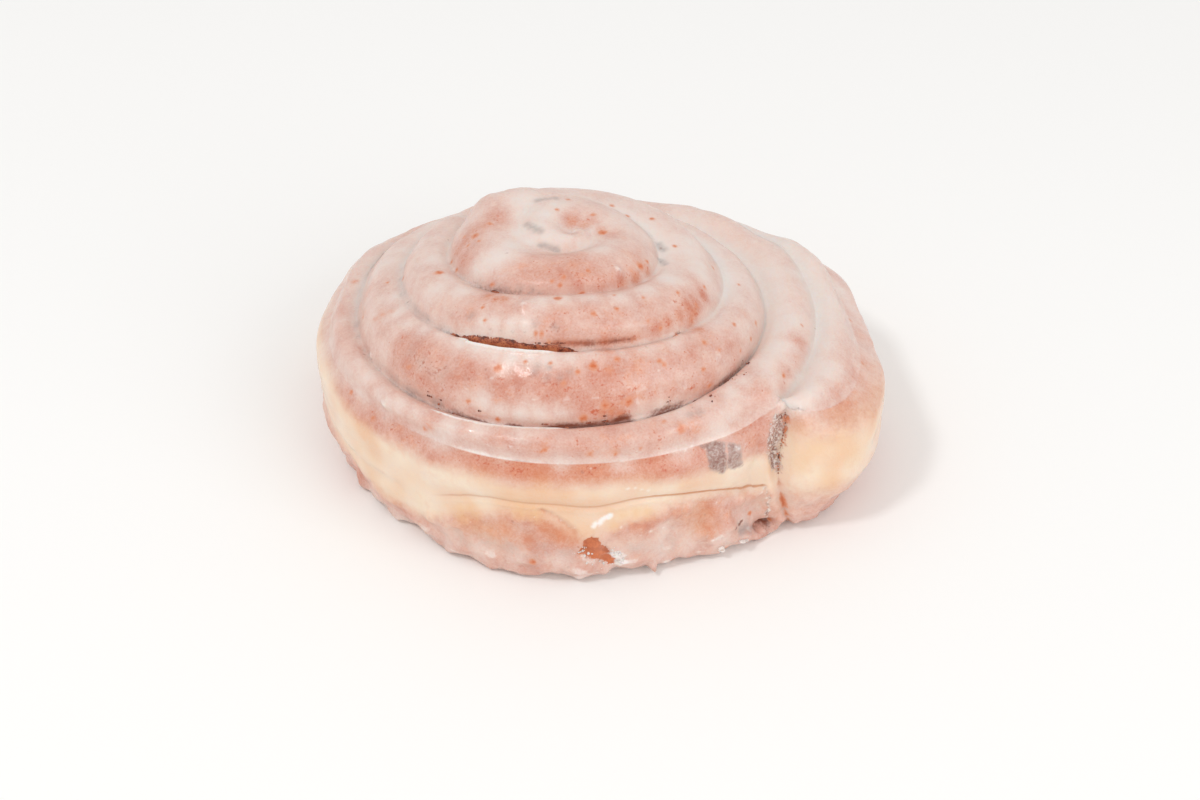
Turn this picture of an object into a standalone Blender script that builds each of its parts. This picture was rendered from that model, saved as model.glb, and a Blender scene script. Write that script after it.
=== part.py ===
"""A glazed cinnamon roll: one strip of fried dough wound clockwise into a leaning cone, its tail end at the
front right, with a thin ribbon of cinnamon filling in the wound gap.

The strip is a loft of upright sections. Each section stands in a plane through the wound axis, and its
inner and outer edges follow the gap, whose radius and height are given turn by turn. The outside of the last
turn is the free wall of the roll. Angles run along the strip, clockwise seen from above, in degrees from the
axis outwards. They start at the back of the roll, and the front faces -Y.
"""

import math

import bmesh
import bpy
import numpy as np

MM = 0.001

# The wound gap. It runs from the axis to the notch beside the tail end.
TURN_RADII = (0.0, 13.6, 28.1, 36.8, 46.9, 58.2)  # each time the gap passes the back
GAP_HEIGHTS = (  # height of the gap's lip at the back, right, front and left of each turn
    (48.2, 48.7, 48.7, 49.5),
    (47.2, 44.1, 49.1, 43.1),
    (34.4, 37.1, 45.2, 37.8),
    (28.6, 31.1, 33.7, 29.2),
    (24.0, 30.0, 29.0, 28.0),
)
NOTCH_ANGLE = 1567.0  # where the gap comes out at the front right
END_ANGLE = NOTCH_ANGLE + 360.0
NOTCH_LEAN = 3.5  # degrees by which the notch runs round towards the front on its way down
NOTCH_LEAN_REACH = 45.0
GAP_WIDTH = 1.1
FILLING_THICKNESS = 0.5
GAP_OPENS_OVER = 70.0  # the gap widens from nothing at the axis

# The free wall: degrees past the notch, belly radius, foot radius, inset and drop of the rim.
WALL = (
    (0.0, 51.4, 53.4, 1.5, 3.5),
    (8.0, 51.4, 54.2, 2.6, 5.0),
    (24.0, 50.4, 50.8, 3.0, 5.5),
    (55.0, 49.6, 50.2, 3.0, 5.5),
    (100.0, 50.4, 48.4, 3.2, 5.0),
    (145.0, 53.8, 50.2, 3.5, 4.5),
    (190.0, 54.2, 51.0, 4.0, 4.0),
    (235.0, 53.0, 51.0, 4.0, 3.5),
    (275.0, 54.4, 52.0, 4.5, 3.0),
    (303.0, 60.6, 56.5, 5.5, 3.0),
    (325.0, 63.2, 58.8, 6.0, 3.0),
    (342.0, 66.4, 60.2, 6.5, 3.0),
    (360.0, 66.4, 60.2, 6.5, 3.0),
)
TAIL_ROUNDING = 15.0  # degrees over which the tail end rounds into the notch
FOOT_ROUNDING = 6.0

# Shape of the free wall from the base up: part of the rim height, mix of foot and belly radius, inset.
WALL_PROFILE = (
    (0.000, 0.0, 3.2),
    (0.030, 0.0, 0.9),
    (0.100, 0.0, 0.0),
    (0.230, 0.3, 0.0),
    (0.370, 0.7, 0.0),
    (0.500, 1.0, 0.2),
    (0.570, 1.0, 0.6),
    (0.620, 1.0, 0.9),
    (0.680, 1.0, 0.4),
    (0.780, 1.0, 0.3),
    (0.900, 1.0, 0.9),
)
FULL_INSET_WIDTH = 9.0  # a narrower strip has less of the insets
WALL_START = 7.0  # degrees over which the straight wall in the gap becomes the free wall

# Rounded forms
CREST_POINTS = 13
CREST_RISE = (0.8, 1.8, 2.8, 2.3, 2.6, 2.6)  # of the strip's top above its two edges, turn by turn
FULL_RISE_WIDTH = 7.0
CORNER = 2.4  # rounding of the strip's lower edges
CORNER_SHARE = 1 / 3  # most that a corner takes of a narrow strip's width
CORNER_MIDDLE = 0.3  # place of a rounded corner's middle point
FILLING_BASE = 1.0
FILLING_DEPTH = 0.4  # top of the filling below the lip of the gap
SHARP_ANGLE = 50.0

# Degrees between sections
STEP_INSIDE = 15.0
STEP_OUTSIDE = 8.5
STEP_AT_ENDS = 2.0
STEP_AT_TIP = 0.8

# Colours and roughness
GLAZED_CRUST = ((0.71, 0.47, 0.38), 0.35)
CINNAMON = ((0.13, 0.05, 0.03), 0.7)


def smooth_curve(places, values, where):
    """Smooth curve through values given at rising places, with slopes averaged from both sides."""
    places = np.asarray(places, float)
    values = np.asarray(values, float)
    width = np.diff(places)
    chord = np.diff(values) / width
    slope = np.empty_like(values)
    slope[0] = chord[0]
    slope[-1] = chord[-1]
    slope[1:-1] = (chord[:-1] * width[1:] + chord[1:] * width[:-1]) / (width[1:] + width[:-1])
    where = np.clip(where, places[0], places[-1])
    piece = np.clip(np.searchsorted(places, where, side="right") - 1, 0, len(width) - 1)
    t = (where - places[piece]) / width[piece]
    start = (2 * t**3 - 3 * t**2 + 1) * values[piece] + (t**3 - 2 * t**2 + t) * width[piece] * slope[piece]
    end = (3 * t**2 - 2 * t**3) * values[piece + 1] + (t**3 - t**2) * width[piece] * slope[piece + 1]
    return start + end


def ease(t):
    """Smooth rise from 0 to 1 as t goes from 0 to 1."""
    t = np.clip(t, 0.0, 1.0)
    return t * t * (3.0 - 2.0 * t)


def gap_radius(angle):
    turns = 360.0 * np.arange(len(TURN_RADII))
    return smooth_curve(turns, TURN_RADII, angle)


def gap_height(angle):
    heights = np.ravel(GAP_HEIGHTS)
    return smooth_curve(90.0 * np.arange(len(heights)), heights, angle)


def half_gap(angle):
    return GAP_WIDTH / 2 * ease(angle / GAP_OPENS_OVER)


def inner_edge(angle):
    """Radius and height of the strip's inner top edge. For the first turn it is the axis itself."""
    before = np.maximum(angle - 360.0, 0.0)
    return gap_radius(before) + half_gap(before), gap_height(before)


def wall_value(column, angle):
    rows = np.array(WALL)
    return smooth_curve(rows[:, 0], rows[:, column], angle - NOTCH_ANGLE)


def tail_rounding(angle, over):
    """1 along the strip, falling to 0 at its end like a quarter of a circle."""
    t = np.clip((angle - (END_ANGLE - over)) / over, 0.0, 1.0)
    return np.sqrt(1.0 - t * t)


def lean_near(place, angle, height_share):
    """Degrees by which a point near the notch or the tail end is carried forward, most at the base."""
    near = ease(1.0 - np.abs(angle - place) / NOTCH_LEAN_REACH)
    return NOTCH_LEAN * near * (1.0 - height_share)


def notch_lean(angle, height_share):
    return lean_near(NOTCH_ANGLE, angle, height_share) + lean_near(END_ANGLE, angle, height_share)


def outer_top(angle):
    """Radius and height of the strip's outer top edge: the lip of the gap, then the rim of the free wall."""
    in_r, in_z = inner_edge(angle)
    lip_r = gap_radius(angle) - half_gap(angle)
    rim_r = wall_value(1, angle) - wall_value(3, angle)
    rim_r = in_r + (rim_r - in_r) * tail_rounding(angle, TAIL_ROUNDING)
    rim_z = in_z - wall_value(4, angle) * tail_rounding(angle, TAIL_ROUNDING)
    free = ease((angle - NOTCH_ANGLE) / WALL_START)
    return lip_r + (rim_r - lip_r) * free, gap_height(angle) * (1.0 - free) + rim_z * free


def crest(angle):
    """Points over the top of the strip, from its outer edge to its inner edge."""
    in_r, in_z = inner_edge(angle)
    out_r, out_z = outer_top(angle)
    across_r = out_r - in_r
    across_z = out_z - in_z
    width = math.hypot(across_r, across_z)
    turns = 360.0 * np.arange(len(CREST_RISE))
    rise = smooth_curve(turns, CREST_RISE, angle) * min(1.0, width / FULL_RISE_WIDTH)
    points = []
    for k in range(CREST_POINTS):
        share = 0.5 + 0.5 * math.cos(math.pi * k / (CREST_POINTS - 1))
        lift = rise * math.sin(math.pi * share) / max(width, 1e-6)
        r = in_r + across_r * share - across_z * lift
        z = in_z + across_z * share + across_r * lift
        points.append((angle, r, z))
    return points


def outer_side(angle):
    """Points up the strip's outer side: straight in the gap, shaped along the free wall."""
    in_r = inner_edge(angle)[0]
    top_r, top_z = outer_top(angle)
    free = ease((angle - NOTCH_ANGLE) / WALL_START)
    points = []
    for share, mix, inset in WALL_PROFILE:
        at = angle + notch_lean(angle, share)
        side_r = gap_radius(at) - half_gap(at)
        corner = min(CORNER, (side_r - in_r) * CORNER_SHARE)
        below = max(0.0, 1.0 - share * top_z / CORNER)
        straight_r = side_r - corner * (1.0 - math.sqrt(1.0 - below * below))
        belly = wall_value(1, angle) * tail_rounding(angle, TAIL_ROUNDING)
        belly += in_r * (1.0 - tail_rounding(angle, TAIL_ROUNDING))
        foot = wall_value(2, angle) * tail_rounding(angle, FOOT_ROUNDING)
        foot += in_r * (1.0 - tail_rounding(angle, FOOT_ROUNDING))
        free_r = foot + (belly - foot) * mix
        free_r -= inset * min(1.0, (free_r - in_r) / FULL_INSET_WIDTH)
        height = share * top_z if angle > 0 else 0.0
        points.append((at, straight_r + (free_r - straight_r) * free, height))
    return points


def section(angle):
    """One section of the strip as (angle, radius, height), up its outer side and round."""
    at = angle + lean_near(END_ANGLE, angle, 0.0)
    in_r = inner_edge(at)[0]
    outside = outer_side(angle)
    width = max(0.0, outside[0][1] - in_r)
    corner = min(CORNER, in_r * CORNER_SHARE, width * CORNER_SHARE)
    middle = CORNER_MIDDLE * corner
    inside = ((at, in_r, corner), (at, in_r + middle, middle), (at, in_r + corner, 0.0))
    return outside + crest(angle) + list(inside)


def stations():
    """Angles of the sections, closer together near the notch and at the tail end."""
    angles = [0.0]
    while angles[-1] < END_ANGLE:
        last = angles[-1]
        step = STEP_INSIDE if last < 360.0 else STEP_OUTSIDE
        if abs(last - NOTCH_ANGLE) < 1.5 * WALL_START or END_ANGLE - last < 2 * TAIL_ROUNDING:
            step = STEP_AT_ENDS
        if END_ANGLE - last < 2 * STEP_AT_ENDS:
            step = STEP_AT_TIP
        angles.append(last + step)
    angles[-1] = END_ANGLE
    return angles


def in_space(points):
    """(angle, radius, height) rows in millimetres to x, y, z in metres. The path starts at the back."""
    angle, r, z = np.array(points, float).T
    turn = np.radians(90.0 - angle)
    return np.stack([r * np.cos(turn), r * np.sin(turn), z], axis=1) * MM


def loft(name, rings, collection, material, shift):
    """A closed solid through rings of equal length. A first or last ring may shrink to a line."""
    mesh = bpy.data.meshes.new(name)
    body = bmesh.new()
    rows = [[body.verts.new(tuple(p + shift)) for p in in_space(ring)] for ring in rings]
    count = len(rings[0])
    for near, far in zip(rows, rows[1:]):
        for k in range(count):
            after = (k + 1) % count
            body.faces.new((near[k], far[k], far[after], near[after]))
    for row, turned in ((rows[0], False), (rows[-1], True)):
        body.faces.new(row[::-1] if turned else row)
    bmesh.ops.remove_doubles(body, verts=body.verts, dist=1e-6)
    bmesh.ops.triangulate(body, faces=body.faces)
    bmesh.ops.recalc_face_normals(body, faces=body.faces)
    body.to_mesh(mesh)
    body.free()
    mesh.shade_smooth()
    mesh.set_sharp_from_angle(angle=math.radians(SHARP_ANGLE))
    mesh.materials.append(material)
    piece = bpy.data.objects.new(name, mesh)
    collection.objects.link(piece)
    return piece


def food_material(name, looks):
    colour, roughness = looks
    material = bpy.data.materials.new(name)
    material.use_nodes = True
    shader = material.node_tree.nodes["Principled BSDF"]
    shader.inputs["Base Color"].default_value = (*colour, 1.0)
    shader.inputs["Roughness"].default_value = roughness
    shader.inputs["Metallic"].default_value = 0.0
    return material


def plan_centre(rings):
    """The middle of the strip's bounding box in plan, so that the origin can lie under it."""
    points = np.concatenate([in_space(ring) for ring in rings])
    middle = (points.min(axis=0) + points.max(axis=0)) / 2
    return np.array([middle[0], middle[1], 0.0])


def filling_rings():
    """The ribbon of filling: upright rectangles in the middle of the gap."""
    rings = []
    for angle in stations():
        if GAP_OPENS_OVER <= angle <= NOTCH_ANGLE:
            half = FILLING_THICKNESS / 2
            low = angle + notch_lean(angle, 0.0)
            top = gap_height(angle) - FILLING_DEPTH
            rings.append(
                (
                    (low, gap_radius(low) + half, FILLING_BASE),
                    (angle, gap_radius(angle) + half, top),
                    (angle, gap_radius(angle) - half, top),
                    (low, gap_radius(low) - half, FILLING_BASE),
                )
            )
    return rings


def main():
    for old in list(bpy.data.objects):
        bpy.data.objects.remove(old, do_unlink=True)
    roll = bpy.data.collections.new("cinnamon_roll")
    bpy.context.scene.collection.children.link(roll)
    crust = food_material("glazed_crust", GLAZED_CRUST)
    cinnamon = food_material("cinnamon", CINNAMON)
    strip = [section(angle) for angle in stations()]
    shift = -plan_centre(strip)
    loft("dough", strip, roll, crust, shift)
    loft("cinnamon_filling", filling_rings(), roll, cinnamon, shift)
    print("axis at", [round(v / MM, 2) for v in shift], "mm;", len(strip), "sections of", len(strip[0]))


main()
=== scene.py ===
# %% [markdown]
# # A glazed cinnamon roll
#
# The real thing is one long strip of soft yeast dough, spread with cinnamon sugar, wound up, left to
# rise, fried, and dipped in thin sugar glaze while hot. In the picture the middle has popped up into
# a leaning cone, the glaze has run into most of the groove, and a cream band round the side shows
# where the dough floated above the oil and stayed unbrowned.
#
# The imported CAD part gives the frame: its size, its place and where the strip runs. This file makes
# the surface that one sees.

import math

import bpy
import numpy as np
from mathutils import Matrix, Vector


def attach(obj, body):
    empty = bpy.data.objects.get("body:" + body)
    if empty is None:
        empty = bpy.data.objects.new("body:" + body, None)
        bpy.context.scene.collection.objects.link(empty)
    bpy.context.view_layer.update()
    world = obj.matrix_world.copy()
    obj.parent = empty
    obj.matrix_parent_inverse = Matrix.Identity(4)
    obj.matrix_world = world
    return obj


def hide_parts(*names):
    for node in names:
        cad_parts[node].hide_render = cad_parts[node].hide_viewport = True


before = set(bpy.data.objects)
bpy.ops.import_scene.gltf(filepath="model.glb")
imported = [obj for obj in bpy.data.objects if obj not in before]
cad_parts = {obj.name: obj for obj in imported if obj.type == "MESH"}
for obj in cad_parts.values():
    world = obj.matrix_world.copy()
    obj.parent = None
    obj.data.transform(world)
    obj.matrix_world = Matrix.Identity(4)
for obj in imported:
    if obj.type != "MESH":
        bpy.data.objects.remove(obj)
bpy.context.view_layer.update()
MM = 0.001

# %% [markdown]
# ## Camera
#
# The photograph looks down at the roll from the front, about 40 degrees above the table. The camera
# comes first, because later cells ask it which point of the roll lies at a place in the picture.
# A pinhole camera is a division by depth, so the same few numbers serve Blender and numpy.

# %% Camera
PHOTO_SIZE = (1200, 800)
LENS, SENSOR = 63.5, 36.0
CAMERA_HEIGHT = math.radians(40.0)
CAMERA_DISTANCE = 450.0
AIM = np.array([0.63, -1.33, 4.7])
LOOK = np.array([0.0, math.cos(CAMERA_HEIGHT), -math.sin(CAMERA_HEIGHT)])
PICTURE_UP = np.array([0.0, math.sin(CAMERA_HEIGHT), math.cos(CAMERA_HEIGHT)])
EYE = AIM - CAMERA_DISTANCE * LOOK

lens = bpy.data.cameras.new("camera")
lens.sensor_fit = "HORIZONTAL"
lens.sensor_width = SENSOR
lens.lens = LENS
lens.clip_start, lens.clip_end = 0.05, 20.0
camera = bpy.data.objects.new("camera", lens)
bpy.context.scene.collection.objects.link(camera)
camera.matrix_world = (
    Matrix.Translation(Vector(EYE * MM)) @ Vector(LOOK).to_track_quat("-Z", "Y").to_matrix().to_4x4()
)
bpy.context.scene.camera = camera


def in_picture(points):
    """Place in the picture, in pixels: sideways and upwards distance from the line of sight, times the
    focal length in pixels, divided by depth."""
    away = points - EYE
    depth = away @ LOOK
    focal = LENS / SENSOR * PHOTO_SIZE[0]
    across = PHOTO_SIZE[0] / 2 + focal * away[..., 0] / depth
    down = PHOTO_SIZE[1] / 2 - focal * (away @ PICTURE_UP) / depth
    return np.stack([across, down], axis=-1), depth


print("eye in mm:", EYE.round(1))

# %% [markdown]
# ## The groove
#
# The groove is the line where one turn of the strip lies against the next. Everything else hangs on
# it. It is a spiral, so its radius and height are smooth curves of one number: the angle walked along
# the strip, clockwise seen from above, from the axis at the back. Front is 180 degrees into each turn.
# The numbers are the part's own, so the surface lies where the solid does.

# %% Groove line
AXIS = np.array([-4.97, -1.33, 0.0])
TURN_RADII = (0.0, 13.6, 28.1, 36.8, 46.9, 58.2)
GAP_HEIGHTS = (
    (48.2, 48.7, 48.7, 49.5),
    (47.2, 44.1, 49.1, 43.1),
    (34.4, 37.1, 45.2, 37.8),
    (28.6, 31.1, 33.7, 29.2),
    (24.0, 30.0, 29.0, 28.0),
)
NOTCH = 1567.0
END = NOTCH + 360.0
NOTCH_LEAN, NOTCH_BOW, NOTCH_HOOK, NOTCH_LEAN_REACH = 3.5, 2.8, 2.4, 45.0


def smooth_curve(places, values, where):
    """Cubic through values at rising places, with each slope averaged from both sides."""
    places, values = np.asarray(places, float), np.asarray(values, float)
    width = np.diff(places)
    chord = np.diff(values) / width
    slope = np.empty_like(values)
    slope[0], slope[-1] = chord[0], chord[-1]
    slope[1:-1] = (chord[:-1] * width[1:] + chord[1:] * width[:-1]) / (width[1:] + width[:-1])
    where = np.clip(where, places[0], places[-1])
    piece = np.clip(np.searchsorted(places, where, side="right") - 1, 0, len(width) - 1)
    t = (where - places[piece]) / width[piece]
    start = (2 * t**3 - 3 * t**2 + 1) * values[piece] + (t**3 - 2 * t**2 + t) * width[piece] * slope[piece]
    end = (3 * t**2 - 2 * t**3) * values[piece + 1] + (t**3 - t**2) * width[piece] * slope[piece + 1]
    return start + end


def ease(t):
    """Smooth rise from 0 to 1 as t goes from 0 to 1."""
    t = np.clip(t, 0.0, 1.0)
    return t * t * (3.0 - 2.0 * t)


def between(value, start, end, fade_in, fade_out):
    """1 from start to end and 0 outside, easing in after the start and out before the end."""
    return ease((value - start) / fade_in) * ease((end - value) / fade_out)


def bell(distance, width):
    """1 at no distance, falling off as e to the minus the square of distance over width."""
    return np.exp(-((distance / width) ** 2))


def gap_radius(angle):
    return smooth_curve(360.0 * np.arange(len(TURN_RADII)), TURN_RADII, angle)


def gap_height(angle):
    heights = np.ravel(GAP_HEIGHTS)
    return smooth_curve(90.0 * np.arange(len(heights)), heights, angle)


def lean_near(place, angle, height_share):
    """Degrees by which the notch and the tail end run forward towards the base, bowed like a bracket."""
    down = 1.0 - height_share
    lean = NOTCH_LEAN * down + NOTCH_BOW * np.sin(np.pi * down) - NOTCH_HOOK * down**3
    return lean * ease(1.0 - np.abs(angle - place) / NOTCH_LEAN_REACH)


def in_space(angle, radius, height):
    """Angle, radius and height round the axis to x, y, z in mm. Angle 0 points to the back, +Y."""
    turn = np.radians(angle)
    return np.stack([radius * np.sin(turn), radius * np.cos(turn), height + 0.0 * turn], axis=-1) + AXIS


print("the groove leaves the side at", in_picture(in_space(NOTCH, gap_radius(NOTCH), gap_height(NOTCH)))[0].round())

# %% [markdown]
# ## How the groove looks along its way
#
# Glaze fills the groove at the back and sides, so it is a shallow dip there. At the front the third
# turn has opened into a crack: the inner turn stands 3 mm above the outer one and shows its side.
# One table holds this: the angle, how deep the groove is under the lip, how wide its inner and outer
# flanks are, and how far the inner turn's shoulder stands above the lip, all in mm.

# %% Groove table
GROOVE = (
    # angle, depth, inner flank, outer flank, step
    (0, 0.0, 1.5, 1.5, 0.0),
    (180, 0.3, 2.0, 2.0, 0.2),
    (290, 0.3, 2.0, 2.0, 0.2),
    (400, 0.3, 2.0, 2.0, 0.2),
    (455, 0.6, 1.6, 2.2, 0.4),
    (520, 0.8, 1.8, 2.4, 1.2),
    (600, 0.8, 1.8, 2.4, 0.8),
    (660, 0.5, 1.6, 2.0, 0.3),
    (760, 0.3, 2.0, 2.2, 0.2),
    (830, 0.5, 1.6, 2.2, 0.4),
    (865, 1.0, 1.1, 1.6, 1.6),
    (900, 1.5, 1.0, 1.3, 3.0),
    (926, 1.5, 1.0, 1.3, 3.0),
    (938, 1.2, 1.1, 1.5, 2.0),
    (948, 0.9, 1.2, 1.6, 1.1),
    (965, 0.6, 1.5, 1.8, 0.6),
    (1000, 0.4, 1.8, 2.2, 0.3),
    (1100, 0.4, 2.0, 2.4, 0.2),
    (1180, 0.6, 1.8, 2.4, 0.4),
    (1210, 1.0, 1.3, 1.5, 0.8),
    (1260, 1.2, 1.1, 1.3, 1.0),
    (1320, 0.8, 1.5, 1.8, 0.4),
    (1350, 0.4, 2.0, 2.2, 0.2),
    (1380, 0.3, 2.2, 2.4, 0.2),
    (1480, 0.3, 2.6, 2.8, 0.2),
    (1545, 0.3, 2.4, 2.6, 0.2),
    (1567, 0.4, 2.0, 2.2, 0.25),
)


def groove_look(column, angle):
    rows = np.array(GROOVE)
    return smooth_curve(rows[:, 0], rows[:, column], angle)


print(len(GROOVE), "places along", round(NOTCH / 360, 2), "turns")

# %% [markdown]
# ## The free wall
#
# Outside the last turn is the side wall. It bellies out and turns in at the foot. At the tail end it
# rounds into the notch like a fingertip. The table is the part's own, but for the crease: that
# follows its own line, further on.

# %% Wall table
WALL = (
    # degrees past the notch, belly radius, foot radius, inset and drop of the rim
    (0.0, 51.4, 53.4, 1.5, 3.5),
    (8.0, 51.4, 54.2, 2.6, 5.0),
    (24.0, 50.4, 50.8, 3.0, 5.5),
    (55.0, 49.6, 50.2, 3.0, 5.5),
    (100.0, 50.4, 48.4, 3.2, 5.0),
    (145.0, 53.8, 50.2, 3.5, 4.5),
    (190.0, 54.2, 51.0, 4.0, 4.0),
    (235.0, 53.0, 51.0, 4.0, 3.5),
    (275.0, 54.4, 52.0, 4.5, 3.0),
    (303.0, 60.6, 56.5, 5.5, 3.0),
    (325.0, 63.2, 58.8, 6.0, 3.0),
    (342.0, 66.4, 60.2, 6.5, 3.0),
    (360.0, 66.4, 60.2, 6.5, 3.0),
)
WALL_PROFILE = (
    # share of the rim height, mix of foot and belly radius, inset
    (0.000, 0.0, 3.2),
    (0.030, 0.0, 0.9),
    (0.100, 0.0, 0.0),
    (0.230, 0.3, 0.0),
    (0.370, 0.7, 0.0),
    (0.500, 1.0, 0.25),
    (0.620, 1.0, 0.4),
    (0.780, 1.0, 0.3),
    (0.900, 1.0, 0.9),
    (1.000, 1.0, 3.0),
)
TAIL_ROUNDING, FOOT_ROUNDING, FULL_INSET_WIDTH, WALL_START = 15.0, 6.0, 9.0, 7.0


def wall_value(column, angle):
    rows = np.array(WALL)
    return smooth_curve(rows[:, 0], rows[:, column], angle - NOTCH)


def rounding(angle, over):
    """1 along the strip, falling to 0 at its end like a quarter of a circle."""
    t = np.clip((angle - (END - over)) / over, 0.0, 1.0)
    return np.sqrt(1.0 - t * t)


def rim(angle):
    """Radius and height of the outer edge of the last turn's top. It starts from the groove at the notch."""
    in_r, in_z = gap_radius(angle - 360.0), gap_height(angle - 360.0)
    tail = rounding(angle, TAIL_ROUNDING)
    free = ease((angle - NOTCH) / WALL_START)
    rim_r = in_r + (wall_value(1, angle) - wall_value(3, angle) - in_r) * tail
    rim_z = in_z - wall_value(4, angle) * tail
    radius = gap_radius(angle) + (rim_r - gap_radius(angle)) * free
    return radius, gap_height(angle) + (rim_z - gap_height(angle)) * free


def wall_radius(angle, at, share):
    """Radius of the side wall at a share of the rim height, belly and foot mixed by the profile."""
    rows = np.array(WALL_PROFILE)
    mix = smooth_curve(rows[:, 0], rows[:, 1], share)
    inset = smooth_curve(rows[:, 0], rows[:, 2], share)
    in_r = gap_radius(at - 360.0)
    belly = in_r + (wall_value(1, angle) - in_r) * rounding(angle, TAIL_ROUNDING)
    foot = in_r + (wall_value(2, angle) - in_r) * rounding(angle, FOOT_ROUNDING)
    radius = foot + (belly - foot) * mix
    radius = radius - inset * np.clip((radius - in_r) / FULL_INSET_WIDTH, 0.0, 1.0)
    return gap_radius(at) + (radius - gap_radius(at)) * ease((angle - NOTCH) / WALL_START)


print("belly from", min(row[1] for row in WALL), "to", max(row[1] for row in WALL), "mm from the axis")

# %% [markdown]
# ## One closed skin
#
# The grid follows the strip: columns stand across it every half to one degree, and rows run along
# it. The outer edge of one column is the inner edge of the column one turn later, so the same
# vertex serves both, and the groove is a line of edges that stays crisp at any size. The side wall
# hangs from the last turn, and the underside is the same spiral again. A polar grid would be simpler,
# but the groove would cut across its cells in steps.

# %% Grid of the skin
COLUMNS = 540  # in one turn
FRONT_CROWDING = 0.4  # columns stand that share closer at the front, where the most detail is known
TOP_ROWS, WALL_ROWS, BASE_ROWS = 20, 56, 3  # cells across each band


def past_notch(column):
    """Degrees from the notch to a column counted from it: equal steps, less a sine of one wave a turn."""
    turn = 2.0 * np.pi * column / COLUMNS
    front = np.radians(180.0 - NOTCH % 360.0)
    return np.degrees(turn - FRONT_CROWDING * (np.sin(turn - front) + np.sin(front)))


AT_NOTCH = int(np.searchsorted(-past_notch(-np.arange(0.0, 6.0 * COLUMNS)), NOTCH, side="right")) - 1
LAST = AT_NOTCH + COLUMNS
PATH = NOTCH + past_notch(np.arange(LAST + 1.0) - AT_NOTCH)
CREST_RISE = (0.8, 1.8, 2.8, 2.3, 2.6, 2.6)  # in mm, once a turn
CREST_FULL_WIDTH, GROOVE_FULL_WIDTH = 7.0, 5.0  # narrower strips, near the middle, rise and dip less, in mm
BACK_FLATTER, FLATTER_FROM, FLATTER_OVER = 0.45, 760.0, 300.0  # share, and degrees along the strip
RIM_OPENNESS = 0.3  # how sharp the dip is along the free rim, on the scale of groove_dip
CROWDING = 0.08  # rows lie closer together beside the groove


def groove_dip(distance, width, openness):
    """1 in the groove, falling to 0 at its shoulder: a round trough where glaze fills the groove, and a
    sharp one where it is open."""
    t = np.clip(distance / width, 0.0, 1.0)
    return (1.0 - openness) * (1.0 - t * t) ** 2 + openness * (1.0 - t) ** 1.6


def top_surface():
    """Radius and height of the strip's top, and the way across it from either groove. It is the straight
    line between its two lips, lifted square to that line by a half sine, less a dip at each groove. The
    sine's power is above 1 where glaze fills the groove, so that it starts level there, and below 1
    where the groove is open, so that its shoulders stand steep."""
    u = np.arange(TOP_ROWS + 1) / TOP_ROWS
    share = (u - CROWDING * np.sin(2 * np.pi * u))[None, :]
    path = PATH[:, None]
    before = np.maximum(path - 360.0, 0.0)
    in_r, in_z = gap_radius(before), gap_height(before)
    rim_r, rim_z = rim(path)
    inside = path <= NOTCH
    out_r = np.where(inside, gap_radius(path), rim_r)
    step = np.where(inside, groove_look(4, path), 0.0)
    out_z = np.where(inside, gap_height(path), rim_z) + step
    across_r, across_z = out_r - in_r, out_z - in_z
    width = np.hypot(across_r, across_z) + 1e-9
    rise = smooth_curve(360.0 * np.arange(len(CREST_RISE)), CREST_RISE, path)
    rise = rise * np.clip(width / CREST_FULL_WIDTH, 0.0, 1.0)
    backwards = 1.0 - ((1.0 - np.cos(np.radians(path))) / 2.0) ** 1.5
    rise = rise * (1.0 - BACK_FLATTER * backwards * ease((path - FLATTER_FROM) / FLATTER_OVER))
    open_inner, open_outer = (ease((groove_look(1, a) - 0.5) / 0.6) for a in (before, path))
    open_outer = np.where(inside, open_outer, RIM_OPENNESS)
    power = 1.6 - 0.8 * (open_inner + (open_outer - open_inner) * share)
    lift = rise * np.sin(np.pi * share) ** power / width
    radius = in_r + across_r * share - across_z * lift
    height = in_z + across_z * share + across_r * lift
    fade = np.clip(width / GROOVE_FULL_WIDTH, 0.0, 1.0)
    height = height - fade * groove_look(1, before) * groove_dip(share * width, groove_look(3, before), open_inner)
    outer = np.where(inside, groove_look(1, path) + step, 0.0)
    height = height - fade * outer * groove_dip((1.0 - share) * width, groove_look(2, path), open_outer)
    gone = np.cumsum(np.hypot(np.diff(radius, axis=1), np.diff(height, axis=1)), axis=1)
    gone = np.concatenate([0.0 * path, gone], axis=1)
    return path + 0.0 * share, radius, height, gone, gone[:, -1:] - gone


top_angle, top_r, top_z, from_inner, from_outer = top_surface()
print("top:", top_r.shape, "columns and rows; highest point", round(float(top_z.max()), 1), "mm")

# %% Wall and underside
BASE_GROOVE, BASE_CROWN, BASE_FULL_WIDTH = 1.6, 0.5, 6.0  # depths in mm, and the width that has them in full
BASE_SHARES = (0.0, 0.25, 0.75, 1.0)
WEB = 12  # columns on either side of the notch
JOINED_TOP, JOINED_MORE, JOINED_BELOW = 0.35, 0.45, 0.7  # share grown together, more at the foot, from this height
SHOULDER = 0.84  # share of the height where the rounded shoulder ends
CROWDED = ((1.0, 0.05, 2.6), (0.63, 0.07, 1.2))  # share of the height, spread and crowding of the rows


def wall_shares():
    """Shares of the height, from just under the rim to the foot: rows lie where the running total of a
    density reaches equal steps, and the density is 1 plus a bell at each crowded place."""
    fine = np.linspace(0.0, 1.0, 2001)
    density = 1.0 + sum(more * bell(fine - place, spread) for place, spread, more in CROWDED)
    total = np.concatenate([[0.0], np.cumsum((density[1:] + density[:-1]) / 2.0)])
    return np.interp(np.linspace(total[-1], 0.0, WALL_ROWS + 1), total, fine)[1:]


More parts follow.
